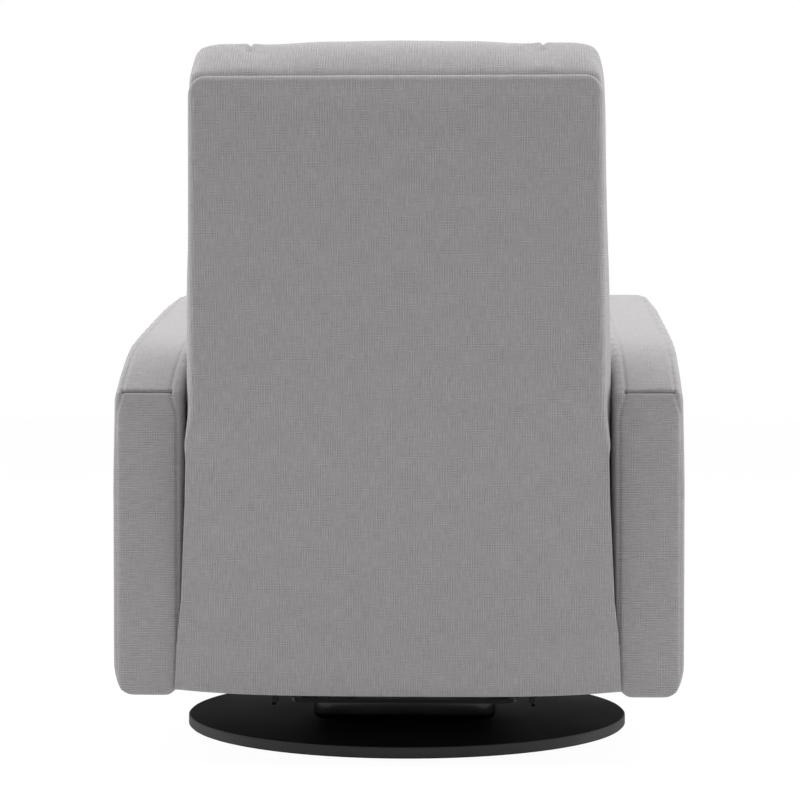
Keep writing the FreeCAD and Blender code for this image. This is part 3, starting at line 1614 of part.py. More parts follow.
def make_handle():
    face = -num.overall_width / 2
    wall = num.cup_wall
    cup = rounded_block(face, num.cup_depth, num.cup_length, num.cup_tall, num.cup_corner)
    lip = rounded_block(
        face - num.cup_lip_thickness - num.seating_fit, num.cup_lip_thickness,
        num.cup_length + 2 * num.cup_lip, num.cup_tall + 2 * num.cup_lip, num.cup_corner + num.cup_lip,
    )
    fit = num.seating_fit
    neck = rounded_block(face - fit, fit, num.cup_length, num.cup_tall, num.cup_corner)
    hollow = rounded_block(
        face - 5, num.cup_depth + 5 - wall,
        num.cup_length - 2 * wall, num.cup_tall - 2 * wall, num.cup_corner - wall,
    )
    pin_along = -num.cup_along + num.cup_length / 2 - wall - num.handle_play - num.handle_pin_radius * 2
    pin_across = face + num.handle_pin_radius * 2
    pin_length = num.cup_tall - 1.5 * wall
    upright = Vector(0, 0, 1)
    foot = Vector(pin_across, pin_along, num.cup_height - pin_length / 2)
    hinge = Part.makeCylinder(num.handle_pin_radius, pin_length, foot, upright)
    bore = Part.makeCylinder(num.handle_pin_radius + num.running_fit, pin_length, foot, upright)
    keep(shaped("handle_cup", cup.fuse([lip, neck]).cut(hollow).cut(bore).removeSplitter()))
    keep(shaped("handle_pin", hinge))
    play = num.handle_play
    tall = num.cup_tall - 2 * wall - 2 * play
    barrel_radius = num.handle_pin_radius * 1.9
    front_end = -num.cup_along - num.cup_length / 2 + wall + num.cup_length * 0.22
    leaf = Part.makeBox(
        num.handle_thickness, pin_along - front_end, tall,
        Vector(pin_across - num.handle_thickness / 2 - 1, front_end, num.cup_height - tall / 2),
    )
    front_edges = [
        edge for edge in leaf.Edges
        if runs_along(Vector(1, 0, 0))(edge) and edge.CenterOfMass.y < front_end + 0.01
    ]
    leaf = leaf.makeFillet(num.cup_corner - wall - play, front_edges)
    barrel_length = tall - 2 * (num.cup_corner - wall)
    barrel_foot = Vector(pin_across, pin_along, num.cup_height - barrel_length / 2)
    barrel = Part.makeCylinder(barrel_radius, barrel_length, barrel_foot, upright)
    keep(shaped("release_handle", leaf.fuse(barrel).cut(bore).removeSplitter()))


make_base()
make_swivel()
make_carriage()
make_rocker()
make_underframe()
make_arms()
make_flap()
make_seat_frame()
make_seat_cushion()
make_linkage()
make_footrest()
make_back()
make_handle()
doc.recompute()

for thing in doc.Objects:
    if "Invalid" in thing.State or "Error" in thing.State:
        raise RuntimeError(f"{thing.Label} failed: {thing.State}")
for feature in nodes:
    if feature.Shape.isNull() or not feature.Shape.isValid():
        raise RuntimeError(f"{feature.Label} has no valid shape")
    if not feature.Shape.Solids:
        raise RuntimeError(f"{feature.Label} has no solid")

os.makedirs("parts", exist_ok=True)
for feature in nodes:
    feature.Shape.exportStep(f"parts/{feature.Label}.step")
print(len(nodes), "sub-parts written")
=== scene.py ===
# %% [markdown]
# # Dressing a swivel rocker recliner
# The imported CAD model is the skeleton of the chair: base, swivel, rocker, footrest linkage and frame.
# This lesson dresses it. Every soft solid gets a cover of cloth over stuffing, and every hard one a
# finish. The frame is loaded first, because each new piece is placed by the CAD, and most of them move with
# it.

# %% Load the skeleton
import json
import math
import bmesh
import bpy
import numpy as np
from mathutils import Matrix, Vector


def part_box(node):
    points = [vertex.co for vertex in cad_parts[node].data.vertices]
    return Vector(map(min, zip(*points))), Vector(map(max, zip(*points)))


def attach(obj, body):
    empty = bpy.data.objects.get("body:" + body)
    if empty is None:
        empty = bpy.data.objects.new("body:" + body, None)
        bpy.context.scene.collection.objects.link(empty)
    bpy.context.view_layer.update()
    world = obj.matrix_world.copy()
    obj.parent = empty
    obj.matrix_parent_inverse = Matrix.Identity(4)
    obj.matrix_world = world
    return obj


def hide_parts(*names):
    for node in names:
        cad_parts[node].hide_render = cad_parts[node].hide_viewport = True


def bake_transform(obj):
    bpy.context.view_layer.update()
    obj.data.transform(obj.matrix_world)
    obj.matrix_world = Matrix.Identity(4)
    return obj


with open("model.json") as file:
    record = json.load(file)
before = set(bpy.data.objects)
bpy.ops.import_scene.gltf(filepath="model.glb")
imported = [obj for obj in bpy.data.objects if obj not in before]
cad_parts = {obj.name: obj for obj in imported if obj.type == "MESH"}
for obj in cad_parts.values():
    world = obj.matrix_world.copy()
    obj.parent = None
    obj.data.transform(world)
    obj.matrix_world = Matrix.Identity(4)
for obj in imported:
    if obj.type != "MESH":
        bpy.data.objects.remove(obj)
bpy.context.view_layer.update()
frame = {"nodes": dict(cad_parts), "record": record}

scene = bpy.context.scene
nodes = frame["nodes"]


# %% [markdown]
# ## Camera
# The picture was taken from behind, a little to the sitter's right of the middle and at the height of
# the arms, with a long lens. A long lens keeps the sides of the back almost parallel. The lens is given
# in pixels of an 800 pixel frame, so it turns into millimetres of a 36 mm sensor. The chair could be
# framed by shifting the lens, but here the camera is turned: the level pixel is the one that a line
# straight ahead along the chair's own Y axis runs to.

# %% Set the camera
FOCAL_PIXELS, FRAME_PIXELS, SENSOR = 2319, 800, 36
LEVEL_COLUMN, LEVEL_ROW = 482, 342.8
CAMERA_PLACE = (-0.113, 3.490, 0.571)
camera = bpy.data.objects.new("camera", bpy.data.cameras.new("camera"))
scene.collection.objects.link(camera)
camera.data.sensor_width = SENSOR
camera.data.lens = FOCAL_PIXELS / FRAME_PIXELS * SENSOR
camera.location = CAMERA_PLACE
yaw = math.atan2(LEVEL_COLUMN - FRAME_PIXELS / 2, FOCAL_PIXELS)
pitch = math.atan2(FRAME_PIXELS / 2 - LEVEL_ROW, FOCAL_PIXELS)
gaze = Vector((math.sin(yaw) * math.cos(pitch), -math.cos(yaw) * math.cos(pitch), -math.sin(pitch)))
camera.rotation_euler = gaze.to_track_quat("-Z", "Y").to_euler()
camera.data.clip_end = 60
scene.camera = camera
scene.view_settings.view_transform = "Standard"
print("lens", round(camera.data.lens, 1), "mm")

# %% [markdown]
# ## Shader sums in plain Python
# A finish is a small network of nodes. Written node by node it is long and hard to read, so one class
# wraps a socket and lets Python's own signs add the Math nodes. A second class is the network: its
# `node` method makes any other node from a type, its settings and the values of its sockets. A finish is
# a network with a surface shader, and with short names for the patterns that this chair needs.

# %% Wrap sockets so that they can be added and multiplied
class Thread:
    """An output socket, which takes part in sums."""

    def __init__(self, network, socket):
        self.network = network
        self.socket = socket

    def sum(self, operation, *others):
        made = self.network.node("ShaderNodeMath", {"operation": operation}, dict(enumerate(others)))
        return made["Value"]

    def __add__(self, other):
        return self.sum("ADD", self, other)

    def __radd__(self, other):
        return self.sum("ADD", other, self)

    def __sub__(self, other):
        return self.sum("SUBTRACT", self, other)

    def __rsub__(self, other):
        return self.sum("SUBTRACT", other, self)

    def __mul__(self, other):
        return self.sum("MULTIPLY", self, other)

    def __rmul__(self, other):
        return self.sum("MULTIPLY", other, self)

    def __gt__(self, other):
        return self.sum("GREATER_THAN", self, other)

    def __lt__(self, other):
        return self.sum("LESS_THAN", self, other)

    def sine(self):
        return self.sum("SINE", self)

    def most(self, other):
        return self.sum("MAXIMUM", self, other)


print("sockets can be summed")

# %% Build networks and finishes
MIX_SHARE, MIX_FIRST, MIX_SECOND = 0, 6, 7  # sockets of a Mix node that mixes colours


class Network:
    """The nodes of a finish or of the world."""

    def __init__(self, tree):
        self.tree = tree

    def node(self, kind, settings=None, sockets=None):
        made = self.tree.nodes.new(kind)
        for key, value in (settings or {}).items():
            setattr(made, key, value)
        for key, value in (sockets or {}).items():
            self.feed(made.inputs[key], value)
        return {out.name: Thread(self, out) for out in made.outputs if out.enabled}

    def feed(self, socket, value):
        if isinstance(value, Thread):
            self.tree.links.new(value.socket, socket)
        else:
            socket.default_value = value


class Finish(Network):
    """A procedural material, built up node by node."""

    def __init__(self, name):
        self.material = bpy.data.materials.new(name)
        self.material.use_nodes = True
        super().__init__(self.material.node_tree)
        self.skin = self.tree.nodes["Principled BSDF"]

    def set(self, sockets):
        for key, value in sockets.items():
            self.feed(self.skin.inputs[key], value)

    def place(self, uv=None):
        """Coordinates of the object, or of one of its own UV maps, in metres."""
        if uv:
            return self.node("ShaderNodeUVMap", {"uv_map": uv})["UV"]
        return self.node("ShaderNodeTexCoord")["Object"]

    def stretched(self, place, scale):
        return self.node("ShaderNodeMapping", {}, {"Vector": place, "Scale": scale})["Vector"]

    def noise(self, place, scale, detail=3.0, rough=0.5):
        sockets = {"Vector": place, "Scale": scale, "Detail": detail, "Roughness": rough}
        return self.node("ShaderNodeTexNoise", {}, sockets)["Fac"]

    def patches(self, place, low, high):
        """Soft-edged patches of noise, from 0 below the low level to 1 above the high one."""
        settings = {"interpolation_type": "SMOOTHSTEP"}
        sockets = {"Value": self.noise(place, 1, 2), "From Min": low, "From Max": high}
        return self.node("ShaderNodeMapRange", settings, sockets)["Result"]

    def blend(self, share, first, second):
        """Colour between two colours, by a share from 0 to 1."""
        sockets = {MIX_SHARE: share, MIX_FIRST: first, MIX_SECOND: second}
        return self.node("ShaderNodeMix", {"data_type": "RGBA"}, sockets)["Result"]

    def relief(self, height, distance, strength=1.0):
        sockets = {"Height": height, "Distance": distance, "Strength": strength}
        self.set({"Normal": self.node("ShaderNodeBump", {}, sockets)["Normal"]})


def grey(level, tint=(1, 1, 1)):
    """Linear colour of an sRGB grey from 0 to 255, with a slight tint."""
    share = level / 255
    linear = ((share + 0.055) / 1.055) ** 2.4 if share > 0.04045 else share / 12.92
    return tuple(linear * t for t in tint) + (1,)


print("shader classes ready")

# %% [markdown]
# ## The cover cloth
# The chair is covered in a grey, heathered plain weave. Object coordinates could carry it, but they would
# smear the thread wherever a panel turns. Each panel of a real cover is cut with the thread along it, so the
# weave reads a UV map in metres that is laid panel by panel. Sines draw the warp and the weft, each of which
# shows only in patches, and long thin noise makes the slubs of uneven yarn.

# %% Weave the cloth
THREAD, WANDER = 0.0033, 0.4
WARP_PATCHES, WEFT_PATCHES = (60, 34, 1), (34, 75, 1)
WARP_LEVELS, WEFT_LEVELS = (0.40, 0.62), (0.50, 0.68)
SLUB_GRAIN, PICK_GRAIN, FIBRE_GRAIN = (540, 55, 1), (60, 540, 1), (1500, 900, 1)
THREAD_TONE, SLUB_TONE, PICK_TONE, MOTTLE_TONE, FIBRE_TONE = 0.18, 0.62, 0.36, 0.14, 0.95
CLOTH_DARK, CLOTH_PALE = grey(116, (1.0, 0.955, 0.970)), grey(176, (1.0, 0.962, 0.977))


def woven_cloth():
    weave = Finish("woven_grey_cloth")
    place = weave.place("weave")
    part = weave.node("ShaderNodeSeparateXYZ", {}, {"Vector": place})
    wander = weave.noise(place, 40, 2) * (WANDER * THREAD)
    warp, weft = [((part[way] + wander) * (2 * math.pi / THREAD)).sine() for way in "XY"]
    warp_shows = weave.patches(weave.stretched(place, WARP_PATCHES), *WARP_LEVELS)
    weft_shows = weave.patches(weave.stretched(place, WEFT_PATCHES), *WEFT_LEVELS)
    slub = weave.noise(weave.stretched(place, SLUB_GRAIN), 1, 3, 0.6)
    pick = weave.noise(weave.stretched(place, PICK_GRAIN), 1, 3, 0.6)
    mottle = weave.noise(place, 30, 3)
    fibre = weave.noise(weave.stretched(place, FIBRE_GRAIN), 1, 2)
    threads = warp * warp_shows * THREAD_TONE + weft * weft_shows * THREAD_TONE
    tone = 0.5 + threads + (slub - 0.5) * SLUB_TONE + (pick - 0.5) * PICK_TONE
    tone = tone + (mottle - 0.5) * MOTTLE_TONE + (fibre - 0.5) * FIBRE_TONE
    weave.set({
        "Base Color": weave.blend(tone, CLOTH_DARK, CLOTH_PALE), "Roughness": 0.86 + (slub - 0.5) * 0.1,
        "Specular IOR Level": 0.18, "Sheen Weight": 0.12, "Sheen Roughness": 0.5,
    })
    weave.relief(threads * 1.4 + slub * 0.7 + fibre * 0.5, 0.0006, 0.5)
    return weave.material


cloth = woven_cloth()
print("cloth with a thread every", THREAD * 1000, "mm")

# %% [markdown]
# ## Hard finishes
# The base is a painted board, the swivel pan is gloss enamelled, and the steel of the rocker is powder
# coated. Fasteners are zinc plated, springs are bare wire, the frame is beech, and the cup of the release
# handle is moulded plastic. None of them is one flat colour: each has its own grain, bloom or wear. Painted
# pictures could carry that, but noise in an object's own coordinates needs no file and stays on the piece.

# %% Mix the paints
# Radius where the painted highlight on the side of the base begins.
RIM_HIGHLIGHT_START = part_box("base_disc")[1][0] - 0.0015
CLOUD_SCALE, CLOUD_ROUGH, CLOUD_TONE, PEEL_TONE = 9, 0.14, 0.25, 0.2


def brush_on(paint, place, speckle, rough, depth, bloom=CLOUD_TONE):
    """Give a paint its peel and its clouds, and return how pale it is from place to place."""
    peel, cloud = paint.noise(place, speckle, 2), paint.noise(place, CLOUD_SCALE, 3)
    paint.set({"Roughness": rough + (cloud - 0.5) * CLOUD_ROUGH})
    paint.relief(peel, depth, 0.5)
    return cloud * bloom + peel * PEEL_TONE


def painted(name, level, rough, speckle, depth, shine=0.5, coat=0.0, bloom=CLOUD_TONE):
    paint = Finish(name)
    tone = brush_on(paint, paint.place(), speckle, rough, depth, bloom)
    paint.set({
        "Base Color": paint.blend(tone, grey(level), grey(level + 12)), "Specular IOR Level": shine,
        "Coat Weight": coat, "Coat Roughness": 0.06,
    })
    return paint.material


def base_board(name):
    """Black laminate on top, and a paler band round the rim of the base, which is a painted highlight for the
    light that its side catches.
    """
    board = Finish(name)
    place = board.place()
    flat = board.node("ShaderNodeVectorMath", {"operation": "MULTIPLY"}, {0: place, 1: (1, 1, 0)})
    radius = board.node("ShaderNodeVectorMath", {"operation": "LENGTH"}, {0: flat["Vector"]})["Value"]
    tone = brush_on(board, place, 700, 0.55, 0.00008)
    # The band's paler grey is a painted highlight for the light that the board's side catches, not a second
    # colour of the board.
    top, rim_highlight = board.blend(tone, grey(22), grey(40)), board.blend(tone, grey(74), grey(90))
    board.set({"Base Color": board.blend(radius > RIM_HIGHLIGHT_START, top, rim_highlight), "Specular IOR Level": 0.003})
    return board.material


print("the base's pale rim starts at radius", round(RIM_HIGHLIGHT_START, 4), "m")

# %% Mix metal, wood, felt and plastic
def metal(name, level, rough, grain):
    steel = Finish(name)
    place = steel.place()
    drawn = steel.noise(steel.stretched(place, (grain, grain, grain * 0.08)), 1, 3, 0.6)
    stain = steel.noise(place, 25, 3)
    tone, dark, pale = drawn * 0.6 + stain * 0.4, grey(level - 25), grey(level + 15, (1, 1, 0.97))
    steel.set({
        "Base Color": steel.blend(tone, dark, pale),
        "Roughness": rough + (stain - 0.5) * 0.2, "Metallic": 1,
    })
    steel.relief(drawn, 0.0001, 0.4)
    return steel.material


def beech(name):
    wood = Finish(name)
    place = wood.place()
    bent = wood.noise(wood.stretched(place, (3, 3, 3)), 1, 2)
    grain = wood.noise(wood.stretched(place, (18, 140, 140)), 1, 4, 0.65)
    fleck = wood.noise(wood.stretched(place, (60, 900, 900)), 1, 2)
    tone = grain * 0.8 + bent * 0.3 + (fleck - 0.5) * 0.25
    wood.set({
        "Base Color": wood.blend(tone, (0.33, 0.19, 0.09, 1), (0.62, 0.43, 0.25, 1)),
        "Roughness": 0.55 + (grain - 0.5) * 0.2,
    })
    wood.relief(grain * 0.7 + fleck * 0.3, 0.0003, 0.5)
    return wood.material


def felted(name):
    felt = Finish(name)
    fluff = felt.noise(felt.place(), 900, 4, 0.7)
    felt.set({"Base Color": felt.blend(fluff, grey(20), grey(52)), "Roughness": 0.95})
    felt.relief(fluff, 0.0008, 0.8)
    return felt.material


def moulded(name, low, high, rough):
    plastic = Finish(name)
    place = plastic.place()
    spark, flow = plastic.noise(place, 1400, 3, 0.6), plastic.noise(place, 16, 2)
    plastic.set({
        "Base Color": plastic.blend(spark * 0.5 + flow * 0.5, grey(low), grey(high)),
        "Roughness": rough + (spark - 0.5) * 0.15,
    })
    plastic.relief(spark, 0.0002, 0.5)
    return plastic.material


print("recipes for metal, wood, felt and plastic ready")

# %% Put a finish on every CAD node
finishes = {
    "fabric": cloth,
    "base_paint": base_board("black_board"),
    "felt": felted("black_felt"),
    "gloss_black": painted("gloss_black_enamel", 5, 0.16, 90, 0.00005, shine=0.3, coat=0.35, bloom=0.1),
    "black_steel": painted("black_powder_coat", 10, 0.42, 1500, 0.0001, shine=0.25),
    "bright_steel": metal("zinc_plate", 190, 0.28, 400),
    "spring_steel": metal("spring_wire", 120, 0.34, 900),
    "nylon": moulded("pale_nylon", 205, 226, 0.42),
    "wood": beech("beech_frame"),
    "black_plastic": moulded("black_plastic", 16, 30, 0.42),
}
for entry in frame["record"]["subparts"]:
    thing = nodes[entry["node"]]
    thing.data.materials.clear()
    thing.data.materials.append(finishes[entry["material_slot"]])
print(len(finishes), "finishes on", len(nodes), "nodes")

# %% [markdown]
# ## Stage and light
# A white room: the floor and the background are white to the camera and to reflections, and the light on
# the chair comes from a broad softbox overhead, one at each side and a weak one from the front. Brighter
# lamps could whiten the room too, but they would bleach the cloth, so the rays that see the room find it
# white. The floor stays a real surface, so the chair keeps its shadow.

# %% Build the world and the floor
WHITE, FLOOR_PAINT = (1, 1, 1, 1), (0.86, 0.86, 0.86, 1)
FILL_LIGHT, FLOOR_GLOW, FLOOR_SHARE = 0.44, 1.04, 0.92
FLOOR_SIZE, FLOOR_DROP = 14, 0.0005


def made_object(name, block):
    """Object of a finished bmesh."""
    mesh = bpy.data.meshes.new(name)
    block.to_mesh(mesh)
    block.free()
    thing = bpy.data.objects.new(name, mesh)
    scene.collection.objects.link(thing)
    return thing


def white_room():
    scene.world = bpy.data.worlds.new("white_room")
    scene.world.use_nodes = True
    scene.world.node_tree.nodes.clear()
    room = Network(scene.world.node_tree)
    ray = room.node("ShaderNodeLightPath")
    seen = ray["Is Camera Ray"].most(ray["Is Glossy Ray"]).most(ray["Is Transmission Ray"])
    fill = room.node("ShaderNodeBackground", {}, {"Color": WHITE, "Strength": FILL_LIGHT})
    backdrop = room.node("ShaderNodeBackground", {}, {"Color": WHITE, "Strength": 1.0})
    sockets = {0: seen, 1: fill["Background"], 2: backdrop["Background"]}
    both = room.node("ShaderNodeMixShader", {}, sockets)
    room.node("ShaderNodeOutputWorld", {}, {"Surface": both["Shader"]})


def white_floor():
    grid = bmesh.new()
    bmesh.ops.create_grid(grid, x_segments=1, y_segments=1, size=FLOOR_SIZE)
    floor = made_object("studio_floor", grid)
    floor.location.z = -FLOOR_DROP
    paint = Finish("studio_floor_paint")
    paint.set({"Base Color": FLOOR_PAINT, "Roughness": 0.9})
    ray = paint.node("ShaderNodeLightPath")
    seen = ray["Is Camera Ray"].most(ray["Is Glossy Ray"])
    glow = paint.node("ShaderNodeEmission", {}, {"Color": WHITE, "Strength": FLOOR_GLOW})
    sockets = {0: seen * FLOOR_SHARE, 1: Thread(paint, paint.skin.outputs[0]), 2: glow["Emission"]}
    both = paint.node("ShaderNodeMixShader", {}, sockets)
    paint.feed(paint.tree.nodes["Material Output"].inputs["Surface"], both["Shader"])
    floor.data.materials.append(paint.material)


white_room()
white_floor()
print("white room ready")

# %% Hang the softboxes
# Each has its place, the point it faces, its width and height, and its power.
SOFTBOXES = {
    "overhead_softbox": ((0, 0, 3.2), (0, 0, 0.4), 3.4, 3.4, 106),
    "left_softbox": ((3.2, 0.1, 1.4), (0, 0.1, 0.5), 2.4, 2.4, 68),
    "right_softbox": ((-3.2, 0.1, 1.4), (0, 0.1, 0.5), 2.4, 2.4, 68),
    "front_softbox": ((0, -4.0, 1.6), (0, 0, 0.5), 3.0, 2.2, 40),
}
for name, (place, target, width, height, power) in SOFTBOXES.items():
    lamp = bpy.data.lights.new(name, "AREA")
    lamp.shape = "RECTANGLE"
    lamp.size, lamp.size_y, lamp.energy = width, height, power
    thing = bpy.data.objects.new(name, lamp)
    scene.collection.objects.link(thing)
    thing.location = place
    thing.rotation_euler = (Vector(target) - Vector(place)).to_track_quat("-Z", "Y").to_euler()
print(len(SOFTBOXES), "softboxes hung")

# %% [markdown]
# ## Sewing and stuffing
# A cushion starts as a firm block a little smaller than the finished one. It gets an even skin of small
# quads, then cloth simulation with a pressure inside blows the skin up between the seams, which are held
# where they are sewn. After one subdivision the seams are pressed in as narrow grooves, because a groove
# is finer than the skin of the simulation.

# %% Read and move the points of a mesh
def rise(values, start, run):
    """From 0 at a start to 1 a run further on, smoothly. A run below 0 goes the other way."""
    share = np.clip((values - start) / run, 0, 1)
    return share * share * (3 - 2 * share)


def settled(thing):
    """The mesh of an object as its modifiers leave it."""
    graph = bpy.context.evaluated_depsgraph_get()
    return bpy.data.meshes.new_from_object(thing.evaluated_get(graph))


def swap_mesh(thing, mesh):
    old = thing.data
    thing.modifiers.clear()
    thing.data = mesh
    bpy.data.meshes.remove(old)


def vectors(items, key):
    flat = np.empty(len(items) * 3, np.float32)
    items.foreach_get(key, flat)
    return flat.reshape(-1, 3).astype(float)


def points(thing):
    return vectors(thing.data.vertices, "co")


def normals(thing):
    return vectors(thing.data.vertex_normals, "vector")


def move_points(thing, places):
    thing.data.vertices.foreach_set("co", places.astype(np.float32).ravel())
    thing.data.update()


def smooth_faces(thing):
    thing.data.polygons.foreach_set("use_smooth", [True] * len(thing.data.polygons))


print("point helpers ready")

# %% Give a block an even skin and stuff it
STUFFING_PRESSURE, STUFFING_FRAMES = 4.0, 14
TYPICAL_SHARE, MOST_SWELL = 97, 1.2


def even_skin(name, block, voxel):
    """Object with an even skin of small quads around a block."""
    thing = made_object(name, block)
    skin = thing.modifiers.new("even_skin", "REMESH")
    skin.mode, skin.voxel_size = "VOXEL", voxel
    swap_mesh(thing, settled(thing))
    return thing


def stuff(thing, held, swell):
    """Blow the skin up with cloth simulation, with held points fixed, to a given swell."""
    before = points(thing)
    group = thing.vertex_groups.new(name="sewn")
    group.add([int(i) for i in np.flatnonzero(held)], 1.0, "REPLACE")
    swelling = thing.modifiers.new("stuffing", "CLOTH")
    cover = swelling.settings
    cover.quality = 3
    cover.mass = 0.3
    cover.tension_stiffness = cover.compression_stiffness = 12
    cover.shear_stiffness = 4
    cover.bending_stiffness = 0.6
    cover.vertex_group_mass = "sewn"
    cover.use_pressure = True
    cover.uniform_pressure_force = STUFFING_PRESSURE
    cover.effector_weights.gravity = 0
    swelling.point_cache.frame_start = 1
    swelling.point_cache.frame_end = STUFFING_FRAMES
    for step in range(1, STUFFING_FRAMES + 1):
        scene.frame_set(step)
    after = settled(thing)
    scene.frame_set(1)
    swap_mesh(thing, after)
    move = points(thing) - before
    length = np.linalg.norm(move, axis=1, keepdims=True)
    most = float(np.percentile(length, TYPICAL_SHARE))
    print(thing.name, len(before), "points swelled by", round(most * 1000, 1), "mm, kept at", swell * 1000)
    move *= swell / most
    length *= swell / most
    move *= np.minimum(1, MOST_SWELL * swell / np.maximum(length, 1e-9))
    thing.vertex_groups.clear()
    move_points(thing, before + move)


def refine(thing):
    finer = thing.modifiers.new("finer", "SUBSURF")
    finer.levels = finer.render_levels = 1
    swap_mesh(thing, settled(thing))
    smooth_faces(thing)


print("stuffing for", STUFFING_FRAMES, "frames")

# %% Press seams and lay the weave
def groove(gap, width):
    """Share of the full depth at a distance from a seam."""
    return np.exp(-((gap / width) ** 2))


def finer_near(thing, gap, reach):
    """Cut the skin finer within reach of the seams, so that narrow grooves have enough points."""
    skin = bmesh.new()
    skin.from_mesh(thing.data)
    near = gap < reach
    edges = [e for e in skin.edges if near[e.verts[0].index] and near[e.verts[1].index]]
    bmesh.ops.subdivide_edges(skin, edges=edges, cuts=1, use_grid_fill=True, smooth=0)
    skin.to_mesh(thing.data)
    skin.free()
    smooth_faces(thing)


def press_seams(thing, seams, reach=0.009):
    """Press grooves into the skin.

    A seam is its distance function, its depth, its width and whether it is fine.
    """
    for size, chosen in ((reach, seams), (reach / 2, [s for s in seams if s[3]])):
        if chosen:
            places, out = points(thing), normals(thing)
            finer_near(thing, np.min([gap(places, out) for gap, depth, width, fine in chosen], axis=0), size)
    places, out = points(thing), normals(thing)
    sunk = np.max([depth * groove(gap(places, out), width) for gap, depth, width, fine in seams], axis=0)
    move_points(thing, places - out * sunk[:, None])


def counts(items, key):
    flat = np.empty(len(items), np.int32)
    items.foreach_get(key, flat)
    return flat


def lay_uv(mesh, spots):
    """Write the place of every corner of the faces in the weave, in metres."""
    mesh.uv_layers.new(name="weave").data.foreach_set("uv", spots.astype(np.float32).ravel())


def lay_weave(thing, turn=0.0, crosswise=False):
    """Give every panel its own run of the weave, by the way it faces."""
    mesh = thing.data
    lean = np.array(Matrix.Rotation(turn, 3, "X")).T
    facing = vectors(mesh.polygons, "normal") @ lean
    axis = np.repeat(np.abs(facing).argmax(1), counts(mesh.polygons, "loop_total"))
    spot = (points(thing) @ lean)[counts(mesh.loops, "vertex_index")]
    first = np.where(axis == 0, spot[:, 1], spot[:, 0])
    second = np.where(axis == 2, spot[:, 1], spot[:, 2])
    if crosswise:
        first, second = np.where(axis == 0, first, second), np.where(axis == 0, second, first)
    lay_uv(mesh, np.stack([first, second], 1))
    mesh.materials.clear()
    mesh.materials.append(cloth)


print("sewing helpers ready")

# %% [markdown]
# ## Arms
# An arm is a tall, narrow block with a rolled top: two side panels, a rear panel, and a strip that starts
# at the seam across the rear and runs over the top and down the front. The block starts as a few corners of
# its side view. Spinning a vertex draws the rear roll and the nose, and extrusion gives the width. Its edges
# are rounded after the skin is made, because each edge of a real arm has a softness of its own.

# %% Shape the left arm's block
ARM_IN, ARM_OUT = 0.290, 0.3845
ARM_REAR, ARM_FRONT, ARM_LOW, ARM_SEAM, ARM_NOSE = 0.393, -0.390, 0.0950, 0.506, 0.521
ARM_MIDDLE, ARM_HALF = (ARM_IN + ARM_OUT) / 2, (ARM_OUT - ARM_IN) / 2
SHOULDER, CREST = Vector((ARM_IN, 0.220, 0.573)), Vector((ARM_IN, -0.250, 0.6480))
FOOT_ROUND = 0.010


def arc_of(block, start, centre, end):
    """Spin a vertex about a centre on the side view until it meets the end."""
    first, last = start.co - centre, end - centre
    angle = math.atan2(last.z, last.y) - math.atan2(first.z, first.y)
    angle = (angle + math.pi) % (2 * math.pi) - math.pi
    made = bmesh.ops.spin(block, geom=[start], cent=centre, axis=(1, 0, 0), angle=angle, steps=7)
    return [v for v in made["geom_last"] if isinstance(v, bmesh.types.BMVert)][0]


def arc_centre(start, direction, end):
    """Centre of the arc that leaves start along a direction and passes through end."""
    span = end - start
    side = Vector((0, -direction.z, direction.y))
    return start + side * (span.dot(span) / (2 * side.dot(span)))


def arm_side():
    """Side view of the arm as one face on its inner plane."""
    block = bmesh.new()
    rising = (CREST - SHOULDER).normalized()
    seam, nose = Vector((ARM_IN, ARM_REAR, ARM_SEAM)), Vector((ARM_IN, ARM_FRONT, ARM_NOSE))
    corners = [Vector((ARM_IN, ARM_FRONT, ARM_LOW)), Vector((ARM_IN, ARM_REAR, ARM_LOW)), seam]
    chain = [block.verts.new(corner) for corner in corners]
    for first, second in zip(chain, chain[1:]):
        block.edges.new((first, second))
    shoulder_vert = block.verts.new(SHOULDER)
    arc_of(block, shoulder_vert, arc_centre(SHOULDER, -rising, seam), seam)
    crest_vert = block.verts.new(CREST)
    block.edges.new((shoulder_vert, crest_vert))
    tip = arc_of(block, crest_vert, arc_centre(CREST, rising, nose), nose)
    block.edges.new((tip, chain[0]))
    bmesh.ops.remove_doubles(block, verts=block.verts, dist=1e-4)
    bmesh.ops.contextual_create(block, geom=block.edges)
    feet = [v for v in block.verts if v.co.z < ARM_LOW + 0.001]
    bmesh.ops.bevel(block, geom=feet, offset=FOOT_ROUND, segments=4, profile=0.5,
                    affect="VERTICES", material=-1)
    return block


def outline_of(block):
    """Edges of a side view as start, end and how far up each one faces."""
    middle = Vector((0, 0, 0.35))
    edges = []
    for edge in block.edges:
        start, end = (v.co for v in edge.verts)
        facing = (end - start).cross(Vector((1, 0, 0))).normalized()
        if facing.dot(start - middle) < 0:
            facing = -facing
        edges.append((np.array(start.yz), np.array(end.yz), facing.z))
    return edges


def arm_block(block):
    """Thicken the side view to the width of the arm."""
    grown = bmesh.ops.extrude_face_region(block, geom=list(block.faces))["geom"]
    moved = [v for v in grown if isinstance(v, bmesh.types.BMVert)]
    bmesh.ops.translate(block, verts=moved, vec=(ARM_OUT - ARM_IN, 0, 0))
    bmesh.ops.recalc_face_normals(block, faces=block.faces)
    return block


side_view = arm_side()
arm_outline = outline_of(side_view)
arm_solid = arm_block(side_view)
print("arm block:", len(arm_solid.faces), "faces")

# %% Round the arm's edges
# Widths and reaches of the rounding: at the two ends, at the foot, and along the top from front to rear.
EDGE_END, EDGE_FOOT = (0.008, 0.016), (0.027, 0.046)
TOP_ALONG = [-0.30, -0.24, -0.12, 0.20, 0.30]
TOP_WIDTH = [0.022, 0.018, 0.009, 0.009, 0.011]
TOP_REACH = [0.026, 0.024, 0.011, 0.012, 0.020]
TOP_FACING, UNDER_FACING, INNER_DRAW, INNER_FOOT = 0.7, -0.3, 0.6, 0.3
